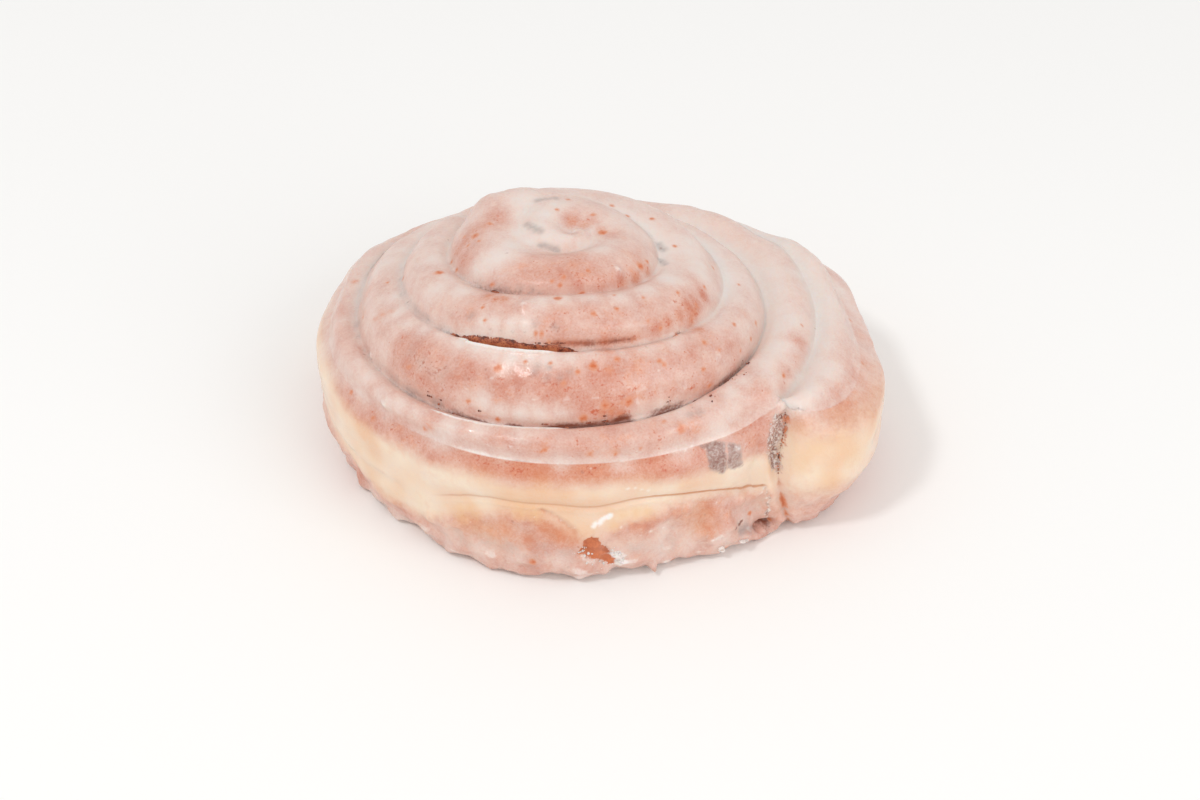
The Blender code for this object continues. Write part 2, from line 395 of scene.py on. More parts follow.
def wall_surface():
    """Angle, radius and height of the side wall, from just under the rim down to the foot."""
    path = PATH[AT_NOTCH:, None]
    share = wall_shares()[None, :]
    at = path + lean_near(NOTCH, path, share) + lean_near(END, path, share)
    radius = wall_radius(path, at, share)
    # a quarter of a wave rounds the shoulder from the rim into the belly
    rim_r, rim_z = rim(path)
    shoulder = wall_radius(path, at, SHOULDER)
    wave = np.sin(np.pi / 2 * np.clip((1.0 - share) / (1.0 - SHOULDER), 0.0, 1.0))
    radius = np.where(share > SHOULDER, rim_r + (shoulder - rim_r) * wave, radius)
    # the two faces of the notch have grown together, more so towards the foot
    joined = np.concatenate([radius[-WEB - 1 :], radius[1 : WEB + 1]])
    web = joined[0] + (joined[-1] - joined[0]) * np.linspace(0.0, 1.0, 2 * WEB + 1)[:, None]
    joined = joined + (web - joined) * (JOINED_TOP + JOINED_MORE * ease(1.0 - share / JOINED_BELOW))
    radius[-WEB - 1 :], radius[: WEB + 1] = joined[: WEB + 1], joined[WEB:]
    return at, radius, share * rim_z


def base_surface():
    """Angle, radius and height of the underside: flat strips, dipping into the groove between turns."""
    share = np.array(BASE_SHARES)[None, :]
    path = PATH[:, None]
    inner = path + lean_near(END, path, 0.0)
    outer = inner + lean_near(NOTCH, path, 0.0)
    in_r = gap_radius(np.maximum(inner - 360.0, 0.0))
    out_r = gap_radius(outer)
    out_r[AT_NOTCH:] = wall_r[:, -1:]
    width = out_r - in_r
    groove = np.where((share == 0.0) | ((share == 1.0) & (path <= NOTCH)), BASE_GROOVE, 0.0)
    height = (groove + BASE_CROWN * (2.0 * share - 1.0) ** 4) * np.clip(width / BASE_FULL_WIDTH, 0.0, 1.0)
    return inner + (outer - inner) * share, in_r + width * share, height


wall_angle, wall_r, wall_z = wall_surface()
base_angle, base_r, base_z = base_surface()
print("wall:", wall_r.shape, " underside:", base_r.shape)


# %% Number the vertices and faces
def spiral_numbers(rows, first, pole, outside):
    """Vertex numbers of a spiral band. Row 0 of a column is the last row of the column a turn before,
    or the pole in the first turn. outside gives the last row's numbers past the notch."""
    number = np.empty((LAST + 1, rows + 1), int)
    number[:, 1:-1] = first + np.arange((LAST + 1) * (rows - 1)).reshape(LAST + 1, rows - 1)
    used = first + (LAST + 1) * (rows - 1)
    number[: AT_NOTCH + 1, -1] = used + np.arange(AT_NOTCH + 1)
    used += AT_NOTCH + 1
    number[0, :] = pole
    end = number[AT_NOTCH, -1]
    if outside is None:
        outside = used + np.arange(COLUMNS - 1)
        used += COLUMNS - 1
    number[AT_NOTCH + 1 : LAST, -1] = outside
    number[LAST, :] = end
    number[: COLUMNS + 1, 0] = pole
    number[COLUMNS + 1 : LAST, 0] = number[1 : LAST - COLUMNS, -1]
    return number, used


def quads(number):
    """Faces between neighbouring columns and rows, turned to face outwards."""
    corners = (number[:-1, :-1], number[1:, :-1], number[1:, 1:], number[:-1, 1:])
    return np.stack([c.ravel() for c in corners], axis=1)


top_number, used = spiral_numbers(TOP_ROWS, 2, 0, None)
wall_number = np.empty((COLUMNS + 1, WALL_ROWS + 1), int)
wall_number[:, 0] = top_number[AT_NOTCH:, -1]
wall_number[:-1, 1:] = used + np.arange(COLUMNS * WALL_ROWS).reshape(COLUMNS, WALL_ROWS)
wall_number[-1] = wall_number[0]
used += COLUMNS * WALL_ROWS
base_number, used = spiral_numbers(BASE_ROWS, used, 1, wall_number[1:COLUMNS, -1])
# the underside's notch column is the wall's own foot
spare = base_number[AT_NOTCH, -1]
base_number[base_number == spare] = wall_number[0, -1]
skin_points = np.zeros((used, 3))
skin_points[top_number] = in_space(top_angle, top_r, top_z)
skin_points[base_number] = in_space(base_angle, base_r, base_z)
skin_points[wall_number[:, 1:]] = in_space(wall_angle, wall_r, wall_z)
skin_points[0] = in_space(0.0, 0.0, gap_height(0.0))
skin_points[1] = in_space(0.0, 0.0, BASE_GROOVE)
skin_faces = np.concatenate([quads(top_number), quads(wall_number), quads(base_number)[:, ::-1]])
print(len(skin_points), "vertices,", len(skin_faces), "faces")


def tidy_grid(faces):
    """Quads with a doubled corner become triangles, those with two go, and so do unused vertices."""
    doubled = faces == np.roll(faces, -1, axis=1)
    count = doubled.sum(axis=1)
    four = faces[count == 0]
    three = faces[count == 1][~doubled[count == 1]].reshape(-1, 3)
    used_ones, back = np.unique(np.concatenate([four.ravel(), three.ravel()]), return_inverse=True)
    return used_ones, back[: four.size].reshape(-1, 4), back[four.size :].reshape(-1, 3)


kept, four_sided, three_sided = tidy_grid(skin_faces)
skin_points = skin_points[kept]
print(len(skin_points), "vertices kept,", 2 * len(four_sided) + len(three_sided), "triangles")

# %% [markdown]
# ## What each vertex knows
#
# Painting and relief need to know where a vertex is on the roll: how far along the strip, how far
# from the groove beside it, and how high on the wall. These are worked out on the grid once and then
# carried along as plain arrays.

# %% Places on the skin
TOP, SIDE, UNDER = 0, 1, 2
FAR = 99.0  # stands for a distance in mm that never counts
RIM_HEIGHT = 29.0  # height of the rim in mm, near enough to read a share of the wall in mm


def on_skin(top_value, side_value, base_value):
    """One array over all vertices from values on the three grids."""
    value = np.zeros(used)
    value[base_number] = base_value
    value[top_number] = top_value
    value[wall_number[:, 1:]] = side_value
    return value[kept]


zone = on_skin(TOP, SIDE, UNDER)
along = on_skin(top_angle, wall_angle, base_angle)
to_inner = on_skin(from_inner, FAR, FAR)
to_outer = on_skin(np.where(PATH[:, None] <= NOTCH, from_outer, FAR), FAR, FAR)
to_rim = on_skin(np.where(PATH[:, None] > NOTCH, from_outer, FAR), 0.0, FAR)
wall_share = on_skin(1.0, wall_z / rim(PATH[AT_NOTCH:, None])[1], 0.0)
direction = np.mod(along, 360.0)
notch_points = in_space(wall_angle[0], wall_r[0], wall_z[0])
wall_row = on_skin(0, np.broadcast_to(np.arange(WALL_ROWS), wall_z.shape), WALL_ROWS - 1).astype(int)
from_notch = np.where(zone == SIDE, np.linalg.norm(skin_points - notch_points[wall_row], axis=1), FAR)
print("vertices on top, side and underside:", [int((zone == k).sum()) for k in (TOP, SIDE, UNDER)])


# %% Random fields and normals
def cloud(points, size, seed):
    """Smooth random field from -1 to 1 with blobs of a given size in mm: random numbers at the corners
    of a grid of cubes, mixed inside each cube by eased shares."""
    table = np.random.default_rng(seed).uniform(-1.0, 1.0, (32, 32, 32))
    cell = np.floor(points / size).astype(int)
    part = points / size - cell
    part = part * part * (3.0 - 2.0 * part)
    total = np.zeros(len(points))
    for corner in np.ndindex(2, 2, 2):
        share = np.prod(np.where(corner, part, 1.0 - part), axis=1)
        i, j, k = ((cell + corner) % 32).T
        total += share * table[i, j, k]
    return total


def clouds(*rows):
    """Sum of random fields over the skin. Each row gives a height, a size in mm and a seed."""
    return sum(height * cloud(skin_points, size, seed) for height, size, seed in rows)


def normals_of(points):
    """Average of the face normals round each vertex, weighted by area, from cross products."""
    total = np.zeros_like(points)
    for faces in (four_sided, three_sided):
        corner = points[faces]
        normal = np.cross(corner[:, 2] - corner[:, 0], corner[:, -1] - corner[:, 1])
        if faces.shape[1] == 3:
            normal = np.cross(corner[:, 1] - corner[:, 0], corner[:, 2] - corner[:, 0])
        for column in range(faces.shape[1]):
            for axis in range(3):
                total[:, axis] += np.bincount(faces[:, column], normal[:, axis], len(points))
    return total / (np.linalg.norm(total, axis=1, keepdims=True) + 1e-12)


skin_normals = normals_of(skin_points)
print("normals pointing up:", int((skin_normals[:, 2] > 0).sum()))

# %% [markdown]
# ## Pointing at the picture
#
# Some marks are found in the photograph. A mark's place in the picture is turned into a point
# of the skin: the nearest vertex in the picture that faces the camera. From then on it is a place
# in space, so it stays put in any view.

# %% Skin point seen at a place
skin_pixels, skin_depth = in_picture(skin_points)
faces_camera = np.einsum("ij,ij->i", skin_normals, EYE - skin_points) > 0.0
SEEN = np.nonzero(faces_camera & (zone != UNDER))[0]
DEPTH_CHARGE = 0.05  # pixels for each mm of depth


def seen_at(places):
    """Vertex numbers nearest to places in the picture, of those that face the camera. Where two
    surfaces lie behind each other, a small charge on depth takes the front one."""
    found = []
    for place in places:
        off = np.hypot(*(skin_pixels[SEEN] - place).T)
        found.append(SEEN[np.argmin(off + DEPTH_CHARGE * (skin_depth[SEEN] - skin_depth[SEEN].min()))])
    return np.array(found)


def along_line(places, spacing=2.0):
    """Places every few pixels along a line through the given ones."""
    places = np.array(places, float)
    length = np.concatenate([[0.0], np.cumsum(np.hypot(*np.diff(places, axis=0).T))])
    where = np.arange(0.0, length[-1] + spacing, spacing)
    return np.stack([np.interp(where, length, places[:, k]) for k in (0, 1)], axis=1)


def around(centres, size):
    """1 at some points in space, falling off like a bell over a size in mm."""
    best = np.zeros(len(skin_points))
    for centre in centres:
        best = np.maximum(best, np.exp(-(((skin_points - centre) ** 2).sum(axis=1)) / size**2))
    return best


def near(places, size):
    """A bell around the skin points seen at the places."""
    return around(skin_points[seen_at(places)], size)


def dabs(rows):
    """The strongest of several sets of bells. Each row gives a size in mm, a strength and places."""
    return np.maximum.reduce([strength * near(places, size) for size, strength, places in rows])


def inside(outline, soft):
    """1 on the wall inside an outline drawn in the picture and 0 outside it, easing over a few pixels.
    The distance to the nearest edge gets its sign from how many edges a line to the left crosses."""
    start = np.array(outline, float)
    end = np.roll(start, -1, axis=0)
    edge_way = end - start
    off = skin_pixels[:, None, :] - start
    t = np.clip((off * edge_way).sum(axis=2) / (edge_way**2).sum(axis=1), 0.0, 1.0)
    distance = np.hypot(*np.moveaxis(off - t[:, :, None] * edge_way, 2, 0)).min(axis=1)
    x, y = skin_pixels.T[:, :, None]
    spans = (start[:, 1] > y) != (end[:, 1] > y)
    drop = np.where(edge_way[:, 1] == 0.0, 1.0, edge_way[:, 1])
    left_of = x < edge_way[:, 0] * (y - start[:, 1]) / drop + start[:, 0]
    signed = np.where((spans & left_of).sum(axis=1) % 2 == 1, distance, -distance)
    return ease(signed / soft + 0.5) * (faces_camera & (zone == SIDE))


print(len(SEEN), "vertices face the camera")

# %% [markdown]
# ## Relief
#
# Fried dough is never a clean loft. The crest heaves gently, small blisters stand on it, and the wall
# below the cream band is rough where it boiled in the oil. Roughness is random fields moved out along
# the normals, each with a real size in mm. A form that the photograph shows, such as the crease or a
# heave of the outline, is a bell or an outline placed by pointing at it.

# %% Where the bands of the wall lie
BANDS = (
    # angle along the strip, then shares of the rim height: top of the cream band, crease, bottom of the band
    (1567, 0.60, 0.34, 0.30),
    (1582, 0.82, 0.55, 0.53),
    (1592, 0.84, 0.61, 0.58),
    (1602, 0.85, 0.67, 0.58),
    (1609, 0.86, 0.67, 0.54),
    (1616, 0.87, 0.66, 0.42),
    (1622, 0.88, 0.65, 0.52),
    (1630, 0.88, 0.65, 0.60),
    (1643, 0.88, 0.62, 0.50),
    (1654, 0.87, 0.55, 0.33),
    (1665, 0.86, 0.46, 0.25),
    (1680, 0.89, 0.44, 0.33),
    (1700, 0.94, 0.48, 0.44),
    (1740, 0.92, 0.55, 0.42),
    (1800, 0.86, 0.60, 0.45),
    (1860, 0.80, 0.58, 0.40),
    (1895, 0.80, 0.60, 0.44),
    (1915, 0.92, 0.60, 0.50),
    (1927, 0.90, 0.55, 0.42),
)


def band(column):
    rows = np.array(BANDS)
    return smooth_curve(rows[:, 0], rows[:, column], along)


band_top, crease_share, band_bottom = band(1), band(2), band(3)
side = 1.0 * (zone == SIDE)
print("cream band about", round(float(RIM_HEIGHT * (band_top - band_bottom)[zone == SIDE].mean()), 1), "mm wide")

# %% The crease round the front
FRONT_CREASE = (
    (422, 495), (446, 498), (463, 497), (493, 500), (524, 505), (555, 506), (585, 510), (603, 509),
    (625, 503), (647, 499), (673, 498), (701, 494), (729, 491), (751, 488), (770, 487),
)
SMOOTHING = 9  # neighbours that the crease's height is averaged over
OFF_WALL = 20.0  # mm, stands for no crease near
found = seen_at(along_line(FRONT_CREASE, 4.0))
found = found[np.argsort(along[found])]
crease_height = np.pad(wall_share[found], SMOOTHING // 2, mode="edge")
crease_height = np.convolve(crease_height, np.full(SMOOTHING, 1.0 / SMOOTHING), mode="valid")
in_front = between(along, along[found[0]], along[found[-1]], 1.5, 8.0) * side
crease_share = crease_share + in_front * (np.interp(along, along[found], crease_height) - crease_share)
off_crease = np.where(zone == SIDE, (wall_share - crease_share) * RIM_HEIGHT, OFF_WALL)
print("crease between", along[found[[0, -1]]].round(), "degrees along the strip")

# %% Lips of glaze along the groove
inner_turn = np.maximum(along - 360.0, 0.0)
on_top = 1.0 * (zone == TOP)


def lip_between(start, end, offset, width):
    """Raised edge of glaze on the outer side of the groove, between two angles along it, at an offset
    from the groove's bottom and over a width in mm."""
    return on_top * between(inner_turn, start, end, 6.0, 6.0) * bell(to_inner - offset, width)


EDGE_SEARCH = 4.0  # mm from the groove
# where the outer turn's edge is highest in the picture, per column, in mm from the groove
edge_down = in_picture(in_space(top_angle, top_r, top_z))[0][..., 1]
edge_row = np.where(from_inner < EDGE_SEARCH, edge_down, np.inf).argmin(axis=1)
visible_edge = np.interp(along, PATH, from_inner[np.arange(LAST + 1), edge_row])
lip_line = lip_between(902.0, 942.0, visible_edge + 0.4, 0.42)
NEXT_LIPS = (
    # strength, from and to along the groove, offset and width in mm
    (0.45, 1196.0, 1232.0, 1.7, 0.5),
    (1.0, 1258.0, 1300.0, 1.8, 0.4),
    (0.35, 1318.0, 1338.0, 1.6, 0.45),
)
next_lips = np.maximum.reduce([strength * lip_between(*place) for strength, *place in NEXT_LIPS])
print("the crack's lip covers", int((lip_line > 0.5).sum()), "vertices")

# %% Small forms found in the picture
FOLD = ((540, 511), (551, 516), (561, 522), (575, 533))
BUBBLE_DOMES = ((385, 403), (616, 269), (524, 306), (736, 447), (676, 335), (372, 356))
PIT = ((770, 527), (766, 528))
PIT_SLOPE = ((746, 532), (752, 531), (760, 530))
RECESS = ((732, 508), (750, 497), (768, 498), (780, 515), (776, 530), (744, 537), (736, 524))
SCAR = (
    (583, 541), (592, 536), (598, 538), (601, 544), (607, 548), (612, 555), (619, 562), (612, 565), (606, 562),
    (598, 558), (590, 558), (584, 553), (577, 552), (584, 546),
)
HEAVES = (
    # mm outwards, size in mm, places in the picture
    (1.2, 7.0, ((475, 214), (492, 206), (510, 202), (530, 199), (552, 198), (455, 224))),
    (1.2, 5.0, ((492, 206), (504, 203), (518, 200))),
    (1.1, 6.0, ((690, 213), (706, 217), (722, 221))),
    (1.2, 6.0, ((365, 263), (372, 257), (358, 269))),
    (1.3, 6.0, ((790, 248), (800, 253), (811, 260))),
    (-1.2, 7.0, ((866, 306), (872, 319), (876, 332), (877, 344))),
    # ledges of crust on the lower wall
    (1.0, 1.7, (
        (700, 536), (712, 538), (722, 534), (728, 524), (664, 516), (676, 512), (688, 510), (742, 500),
        (752, 498), (430, 516), (446, 522), (560, 545),
    )),
    # the spike under the front, and the bead of glaze at the top of the notch
    (2.2, 0.8, ((653, 565),)),
    (0.8, 1.3, ((783, 404), (789, 407), (796, 409))),
    (0.4, 1.0, ((778, 402), (781, 404))),
)
heaves = sum(out * near(places, size) for out, size, places in HEAVES)
fold_line, domes = near(along_line(FOLD), 0.7), near(BUBBLE_DOMES, 1.15)
pit, pit_slope = near(PIT, 1.2), near(along_line(PIT_SLOPE), 1.6)
recess, scar = inside(RECESS, 13.0), inside(SCAR, 2.5)
print("heaves up to", heaves.max().round(2), "mm")

# %% Roughness of crest and wall
WRINKLED = (
    (470, 388), (500, 396), (530, 402), (560, 400), (490, 380), (520, 384), (690, 380), (640, 396), (720, 352),
    (660, 372), (600, 398),
)
# Rows in clouds() are height in mm, size in mm and seed. The other numbers are sizes in mm on the top,
# and shares of the rim's height on the wall.
below_band = ease((band_bottom + 0.05 - wall_share) / 0.14) * side
frontness = np.clip(-np.cos(np.radians(direction)), 0.0, 1.0)
to_groove = np.minimum(to_inner, to_outer)
groove_fade = ease(to_groove / 2.5)
lumps = clouds((0.36, 13.0, 1), (0.16, 5.5, 2))
blisters = 0.22 * np.clip(cloud(skin_points, 3.2, 3) - 0.45, 0.0, 1.0) / 0.55
rough = clouds((0.75, 7.5, 4), (0.45, 3.4, 5), (0.36, 1.7, 6))
sparkle = near(WRINKLED, 3.5)
wrinkle = clouds((0.06, 2.6, 9)) * on_top + clouds((0.17, 1.9, 7), (0.08, 1.1, 10)) * sparkle
foot = bell(wall_share, 0.14) * side * clouds((0.95, 4.2, 26), (0.4, 2.0, 27))
ripples = cloud(skin_points * np.array([0.35, 0.35, 1.0]), 1.2, 43)
rippled = ease((0.42 - wall_share) / 0.25) * frontness * side
torn = scar * (1.0 + clouds((0.6, 1.2, 28)))
print("the wall is rough on", int((below_band > 0.5).sum()), "vertices")

# %% Creases, the rim's bead and the notch
# Widths are in mm, places along the strip in degrees, and the rest are shares.
side_crease = bell(off_crease, 2.0) * between(along, 1655.0, 1920.0, 14.0, 14.0)
from_rim = np.where(zone == SIDE, (wall_share - 1.0) * RIM_HEIGHT, np.minimum(to_rim, 60.0))
ridge = bell(from_rim, np.where(from_rim < 0.0, 0.6, 0.9)) * (along > NOTCH - 1.0) * (zone != UNDER)
ridge *= between(along, NOTCH + 4.0, END - 3.0, 8.0, 6.0) * (0.8 + clouds((0.35, 6.0, 8)))
ridge *= 0.25 + 0.75 * (1.0 - ease((along - 1675.0) / 25.0) + ease((along - 1895.0) / 15.0))
notch_width = 0.7 + 1.1 * ease((wall_share - 0.35) / 0.4)
notch_valley = bell(from_notch, notch_width) * (0.5 + 1.1 * ease((wall_share - 0.35) / 0.3))
notch_valley *= 0.3 + 0.7 * ease((0.99 - wall_share) / 0.1)
print("the rim's bead covers", int((ridge > 0.5).sum()), "vertices")

# %% Move the skin out by its relief
FORMS = (
    # mm outwards, form
    (1.0, heaves),
    (0.4, ridge),
    (0.5, lip_line),
    (0.3, next_lips),
    (0.6, domes),
    (0.3, rippled * ripples),
    (-1.0, notch_valley),
    (-0.26, in_front * bell(off_crease, 0.45)),
    (-0.5, in_front * bell(off_crease, 2.2)),
    (0.2, in_front * bell(off_crease + 1.1, 0.5)),
    (-0.7, side_crease),
    (-0.5, fold_line),
    (-0.9, recess),
    (-2.8, pit),
    (-0.9, pit_slope),
    (-0.55, torn),
)
UNDER_SHARE = 0.5  # the underside is flatter
relief = on_top * groove_fade * (lumps + blisters) + (1.0 - on_top) * (1.0 - below_band) * lumps
relief += below_band * rough + wrinkle + foot + sum(out * form for out, form in FORMS)
relief *= np.where(zone == UNDER, UNDER_SHARE, 1.0)
skin_points = skin_points + relief[:, None] * skin_normals
skin_points[:, 2] = np.maximum(skin_points[:, 2], 0.0)
skin_normals = normals_of(skin_points)
skin_pixels, skin_depth = in_picture(skin_points)
print("relief from", relief.min().round(2), "to", relief.max().round(2), "mm")

# %% [markdown]
# ## Glaze, crust and cinnamon
#
# A few numbers at each vertex say what one sees there. `milk` is how much the glaze hides: little
# where it ran off, nearly all where it pooled. `proof` is the unbrowned cream band, `toast` is crust
# fried darker than the rest, and `burst` is where a bubble broke and left a rusty fleck. The seam
# number is bare cinnamon sugar, and it also paints the pit dark as its shade. The smoke number,
# `smear` and `stain` are cinnamon seen through glaze, and the smoke number also holds painted shade
# in a dent, on the slope into the pit, on the left of a strip and along the foot of the front wall.
# A grey painted shade lies in the glaze-filled grooves and on the front of the foot, and the white of
# dried sugar also paints highlights and glints. A picture laid over the skin could hold all this
# too, but it would fit one view only.

# %% Cinnamon in the groove
DARK = (
    # angle along the groove, bare cinnamon, cinnamon under glaze, reach in mm up the inner and the outer side
    (0, 0.0, 0.0, 0.6, 0.5),
    (150, 0.0, 0.1, 0.6, 0.5),
    (205, 0.25, 0.5, 0.7, 0.6),
    (240, 0.0, 0.2, 0.6, 0.5),
    (275, 0.2, 0.5, 0.7, 0.5),
    (300, 0.0, 0.1, 0.6, 0.5),
    (350, 0.0, 0.4, 0.8, 0.5),
    (400, 0.0, 0.4, 0.8, 0.5),
    (452, 0.15, 0.6, 0.9, 0.8),
    (480, 0.05, 0.4, 1.0, 0.6),
    (520, 0.0, 0.3, 0.9, 0.3),
    (550, 0.15, 0.6, 1.3, 0.5),
    (562, 0.4, 0.9, 1.7, 0.8),
    (585, 0.45, 0.9, 1.7, 0.8),
    (600, 0.2, 0.8, 1.4, 0.8),
    (625, 0.0, 0.6, 1.2, 0.8),
    (650, 0.0, 0.5, 0.9, 0.6),
    (675, 0.2, 0.7, 0.9, 0.7),
    (700, 0.0, 0.5, 1.0, 0.8),
    (780, 0.0, 0.3, 1.2, 0.9),
    (820, 0.0, 0.2, 1.4, 0.8),
    (845, 0.0, 0.35, 1.3, 0.8),
    (862, 0.05, 0.3, 1.2, 0.5),
    (875, 0.05, 0.3, 1.2, 0.5),
    (890, 0.15, 0.4, 1.2, 0.5),
    (898, 0.25, 0.4, 1.3, 0.5),
    (907, 0.45, 0.4, 1.5, 0.6),
    (925, 0.55, 0.4, 1.5, 0.6),
    (938, 0.45, 0.6, 1.3, 0.5),
    (946, 0.35, 0.9, 1.3, 0.7),
    (956, 0.15, 0.9, 1.4, 0.9),
    (970, 0.05, 0.8, 1.4, 1.0),
    (985, 0.0, 0.7, 1.3, 1.0),
    (1010, 0.05, 0.4, 1.0, 1.0),
    (1050, 0.0, 0.2, 1.0, 1.0),
    (1130, 0.0, 0.3, 1.4, 0.8),
    (1175, 0.05, 0.4, 1.5, 0.6),
    (1195, 0.11, 0.6, 1.7, 0.8),
    (1203, 0.4, 0.9, 2.1, 1.0),
    (1214, 0.57, 0.9, 2.1, 1.0),
    (1220, 0.34, 0.7, 1.7, 0.7),
    (1225, 0.23, 0.6, 1.7, 0.5),
    (1231, 0.69, 0.9, 2.1, 0.5),
    (1237, 0.69, 0.8, 1.8, 0.4),
    (1241, 0.23, 0.4, 1.6, 0.4),
    (1246, 1.0, 0.6, 2.5, 0.5),
    (1250, 0.8, 0.7, 1.7, 0.5),
    (1254, 1.0, 0.8, 1.6, 0.7),
    (1265, 1.0, 0.8, 1.4, 0.7),
    (1268, 0.34, 0.4, 1.2, 0.5),
    (1271, 0.23, 0.3, 1.0, 0.4),
    (1273, 0.92, 0.4, 1.0, 0.4),
    (1276, 0.92, 0.4, 1.0, 0.4),
    (1279, 0.17, 0.2, 0.78, 0.4),
    (1283, 0.69, 0.3, 0.91, 0.4),
    (1289, 0.8, 0.5, 1.2, 0.4),
    (1295, 0.4, 0.9, 2.3, 0.8),
    (1308, 0.29, 1.0, 2.5, 0.9),
    (1325, 0.15, 0.8, 1.5, 1.0),
    (1345, 0.1, 0.7, 1.4, 0.9),
    (1370, 0.05, 0.7, 1.4, 1.1),
    (1410, 0.0, 0.3, 1.4, 1.2),
    (1500, 0.0, 0.25, 1.6, 0.9),
    (1530, 0.0, 0.35, 1.6, 1.0),
    (1567, 0.0, 0.2, 1.2, 1.0),
)


def seam_at(distance, angle, column, reach_column):
    """Dark line along a groove: one inside its reach, falling off fast outside."""
    rows = np.array(DARK)
    reach = smooth_curve(rows[:, 0], rows[:, reach_column], angle)
    strength = np.maximum(smooth_curve(rows[:, 0], rows[:, column], angle), 0.0)
    return strength * np.exp(-((distance / reach) ** 3))


SMOKE_SPREAD = 1.3  # how much wider the cinnamon under glaze spreads than the bare one
seam_and_shade = np.maximum(seam_at(to_inner, inner_turn, 1, 4), seam_at(to_outer, along, 1, 3))
smoke_and_shade = seam_at(to_inner / SMOKE_SPREAD, inner_turn, 2, 4), seam_at(to_outer / SMOKE_SPREAD, along, 2, 3)
smoke_and_shade = 0.6 * np.maximum(*smoke_and_shade) * (0.75 + clouds((0.5, 2.2, 24)))
print("darkest groove:", float(seam_and_shade.max().round(2)))

# %% Glaze on top
RUST = (
    (560, 345), (572, 345), (584, 346), (596, 347), (608, 347), (620, 346), (602, 412), (612, 412), (620, 412),
    (488, 296), (496, 298), (504, 298), (700, 330), (692, 322), (696, 314),
)
# Amounts of glaze are shares: 0 is bare crust, and 1 hides it. A bell is as wide as the glaze spreads,
# in mm, and places along the strip are in degrees.
rightness = np.clip(np.sin(np.radians(direction)), 0.0, 1.0)
milk = 0.52 + clouds((0.1, 10.0, 11), (0.07, 4.5, 12))
milk += (0.1 + 0.35 * rightness) * bell(to_inner, 4.0) * (1.0 - frontness)
milk += (0.17 + 0.05 * rightness) * (1.0 - frontness) - 0.06 * frontness + 0.12 * bell(to_groove, 1.5)
rust = on_top * between(along, 870.0, 914.0, 8.0, 10.0) * bell(to_outer - 1.9, 1.5)
rust = np.maximum(rust, near(RUST, 1.3))
milk *= 1.0 - 0.6 * rust
# Painted shade: a cool grey laid along the glaze-filled grooves, where their valleys fall in shade, and on the front
# of the foot, greyer towards the bottom.
filled = [
    (1.0 - ease((groove_look(1, turn) - 0.35) / 0.4)) * ease((turn - 380.0) / 60.0) for turn in (inner_turn, along)
]
foot_shade = 0.75 * ease((0.22 - wall_share) / 0.2) * frontness * side
groove_and_foot_shade = np.maximum.reduce([filled[0] * bell(to_inner, 1.9), filled[1] * bell(to_outer, 1.5), foot_shade])
print("mean of milk on top:", float(milk[zone == TOP].mean().round(2)))

# %% Glaze, cream band and browning of the wall
RUN_DOWN = (
    # angle along the strip, share of the height that the glaze runs down to, brownness of the crust below
    (1567, 1.0, 0.2),
    (1590, 1.0, 0.35),
    (1605, 1.0, 1.0),
    (1632, 1.0, 1.0),
    (1648, 0.98, 0.6),
    (1668, 0.95, 0.2),
    (1740, 0.93, 0.1),
    (1780, 0.9, 0.2),
    (1870, 0.88, 0.3),
    (1900, 0.9, 0.4),
    (1914, 0.97, 0.6),
    (1927, 1.0, 0.6),
)
# As on the top, amounts are shares. Heights on the wall are shares of the rim's height.
run_rows = np.array(RUN_DOWN)
glaze_limit = smooth_curve(run_rows[:, 0], run_rows[:, 1], along)
browned = smooth_curve(run_rows[:, 0], run_rows[:, 2], along)
over_rim = ease((1.0 - glaze_limit) / 0.05)
milk += 0.3 * bell(to_rim, 1.6) * (along > NOTCH) * (1.0 - 0.8 * over_rim)
side_milk = 0.26 + clouds((0.12, 7.0, 13)) + (0.12 - 0.24 * browned) * ease((wall_share - band_top) / 0.06)
side_milk += 0.08 * ease((band_bottom - wall_share) / 0.25) + clouds((0.2, 4.5, 14)) * below_band
reach = ease((wall_share + clouds((0.03, 5.0, 25)) - glaze_limit) / 0.14 + 0.5)
side_milk += (0.56 - side_milk) * over_rim * reach
milk = np.select([zone == SIDE, zone == UNDER], [side_milk, 0.35 + clouds((0.2, 6.0, 13))], milk)
wander = clouds((0.035, 8.0, 15), (0.02, 3.5, 16))
tail_part = ease((along - 1880.0) / 25.0)
soft_top, soft_bottom = 0.16 + 0.2 * tail_part, 0.18 + 0.25 * tail_part
proof = np.clip((wall_share + wander - band_bottom) / soft_bottom + 0.55, 0.0, 1.0)
proof *= np.clip((band_top + wander - wall_share) / soft_top + 0.5, 0.0, 1.0)
low_proof = (0.2 + clouds((0.3, 9.0, 17))) * (wall_share < band_bottom) * ease(wall_share / 0.3)
proof = np.maximum(proof, low_proof) * side
toast = 0.8 * rust + 0.75 * browned * side * ease((wall_share - band_top) / 0.06 + 0.5)
print("the cream band is", int((proof > 0.5).sum()), "vertices")

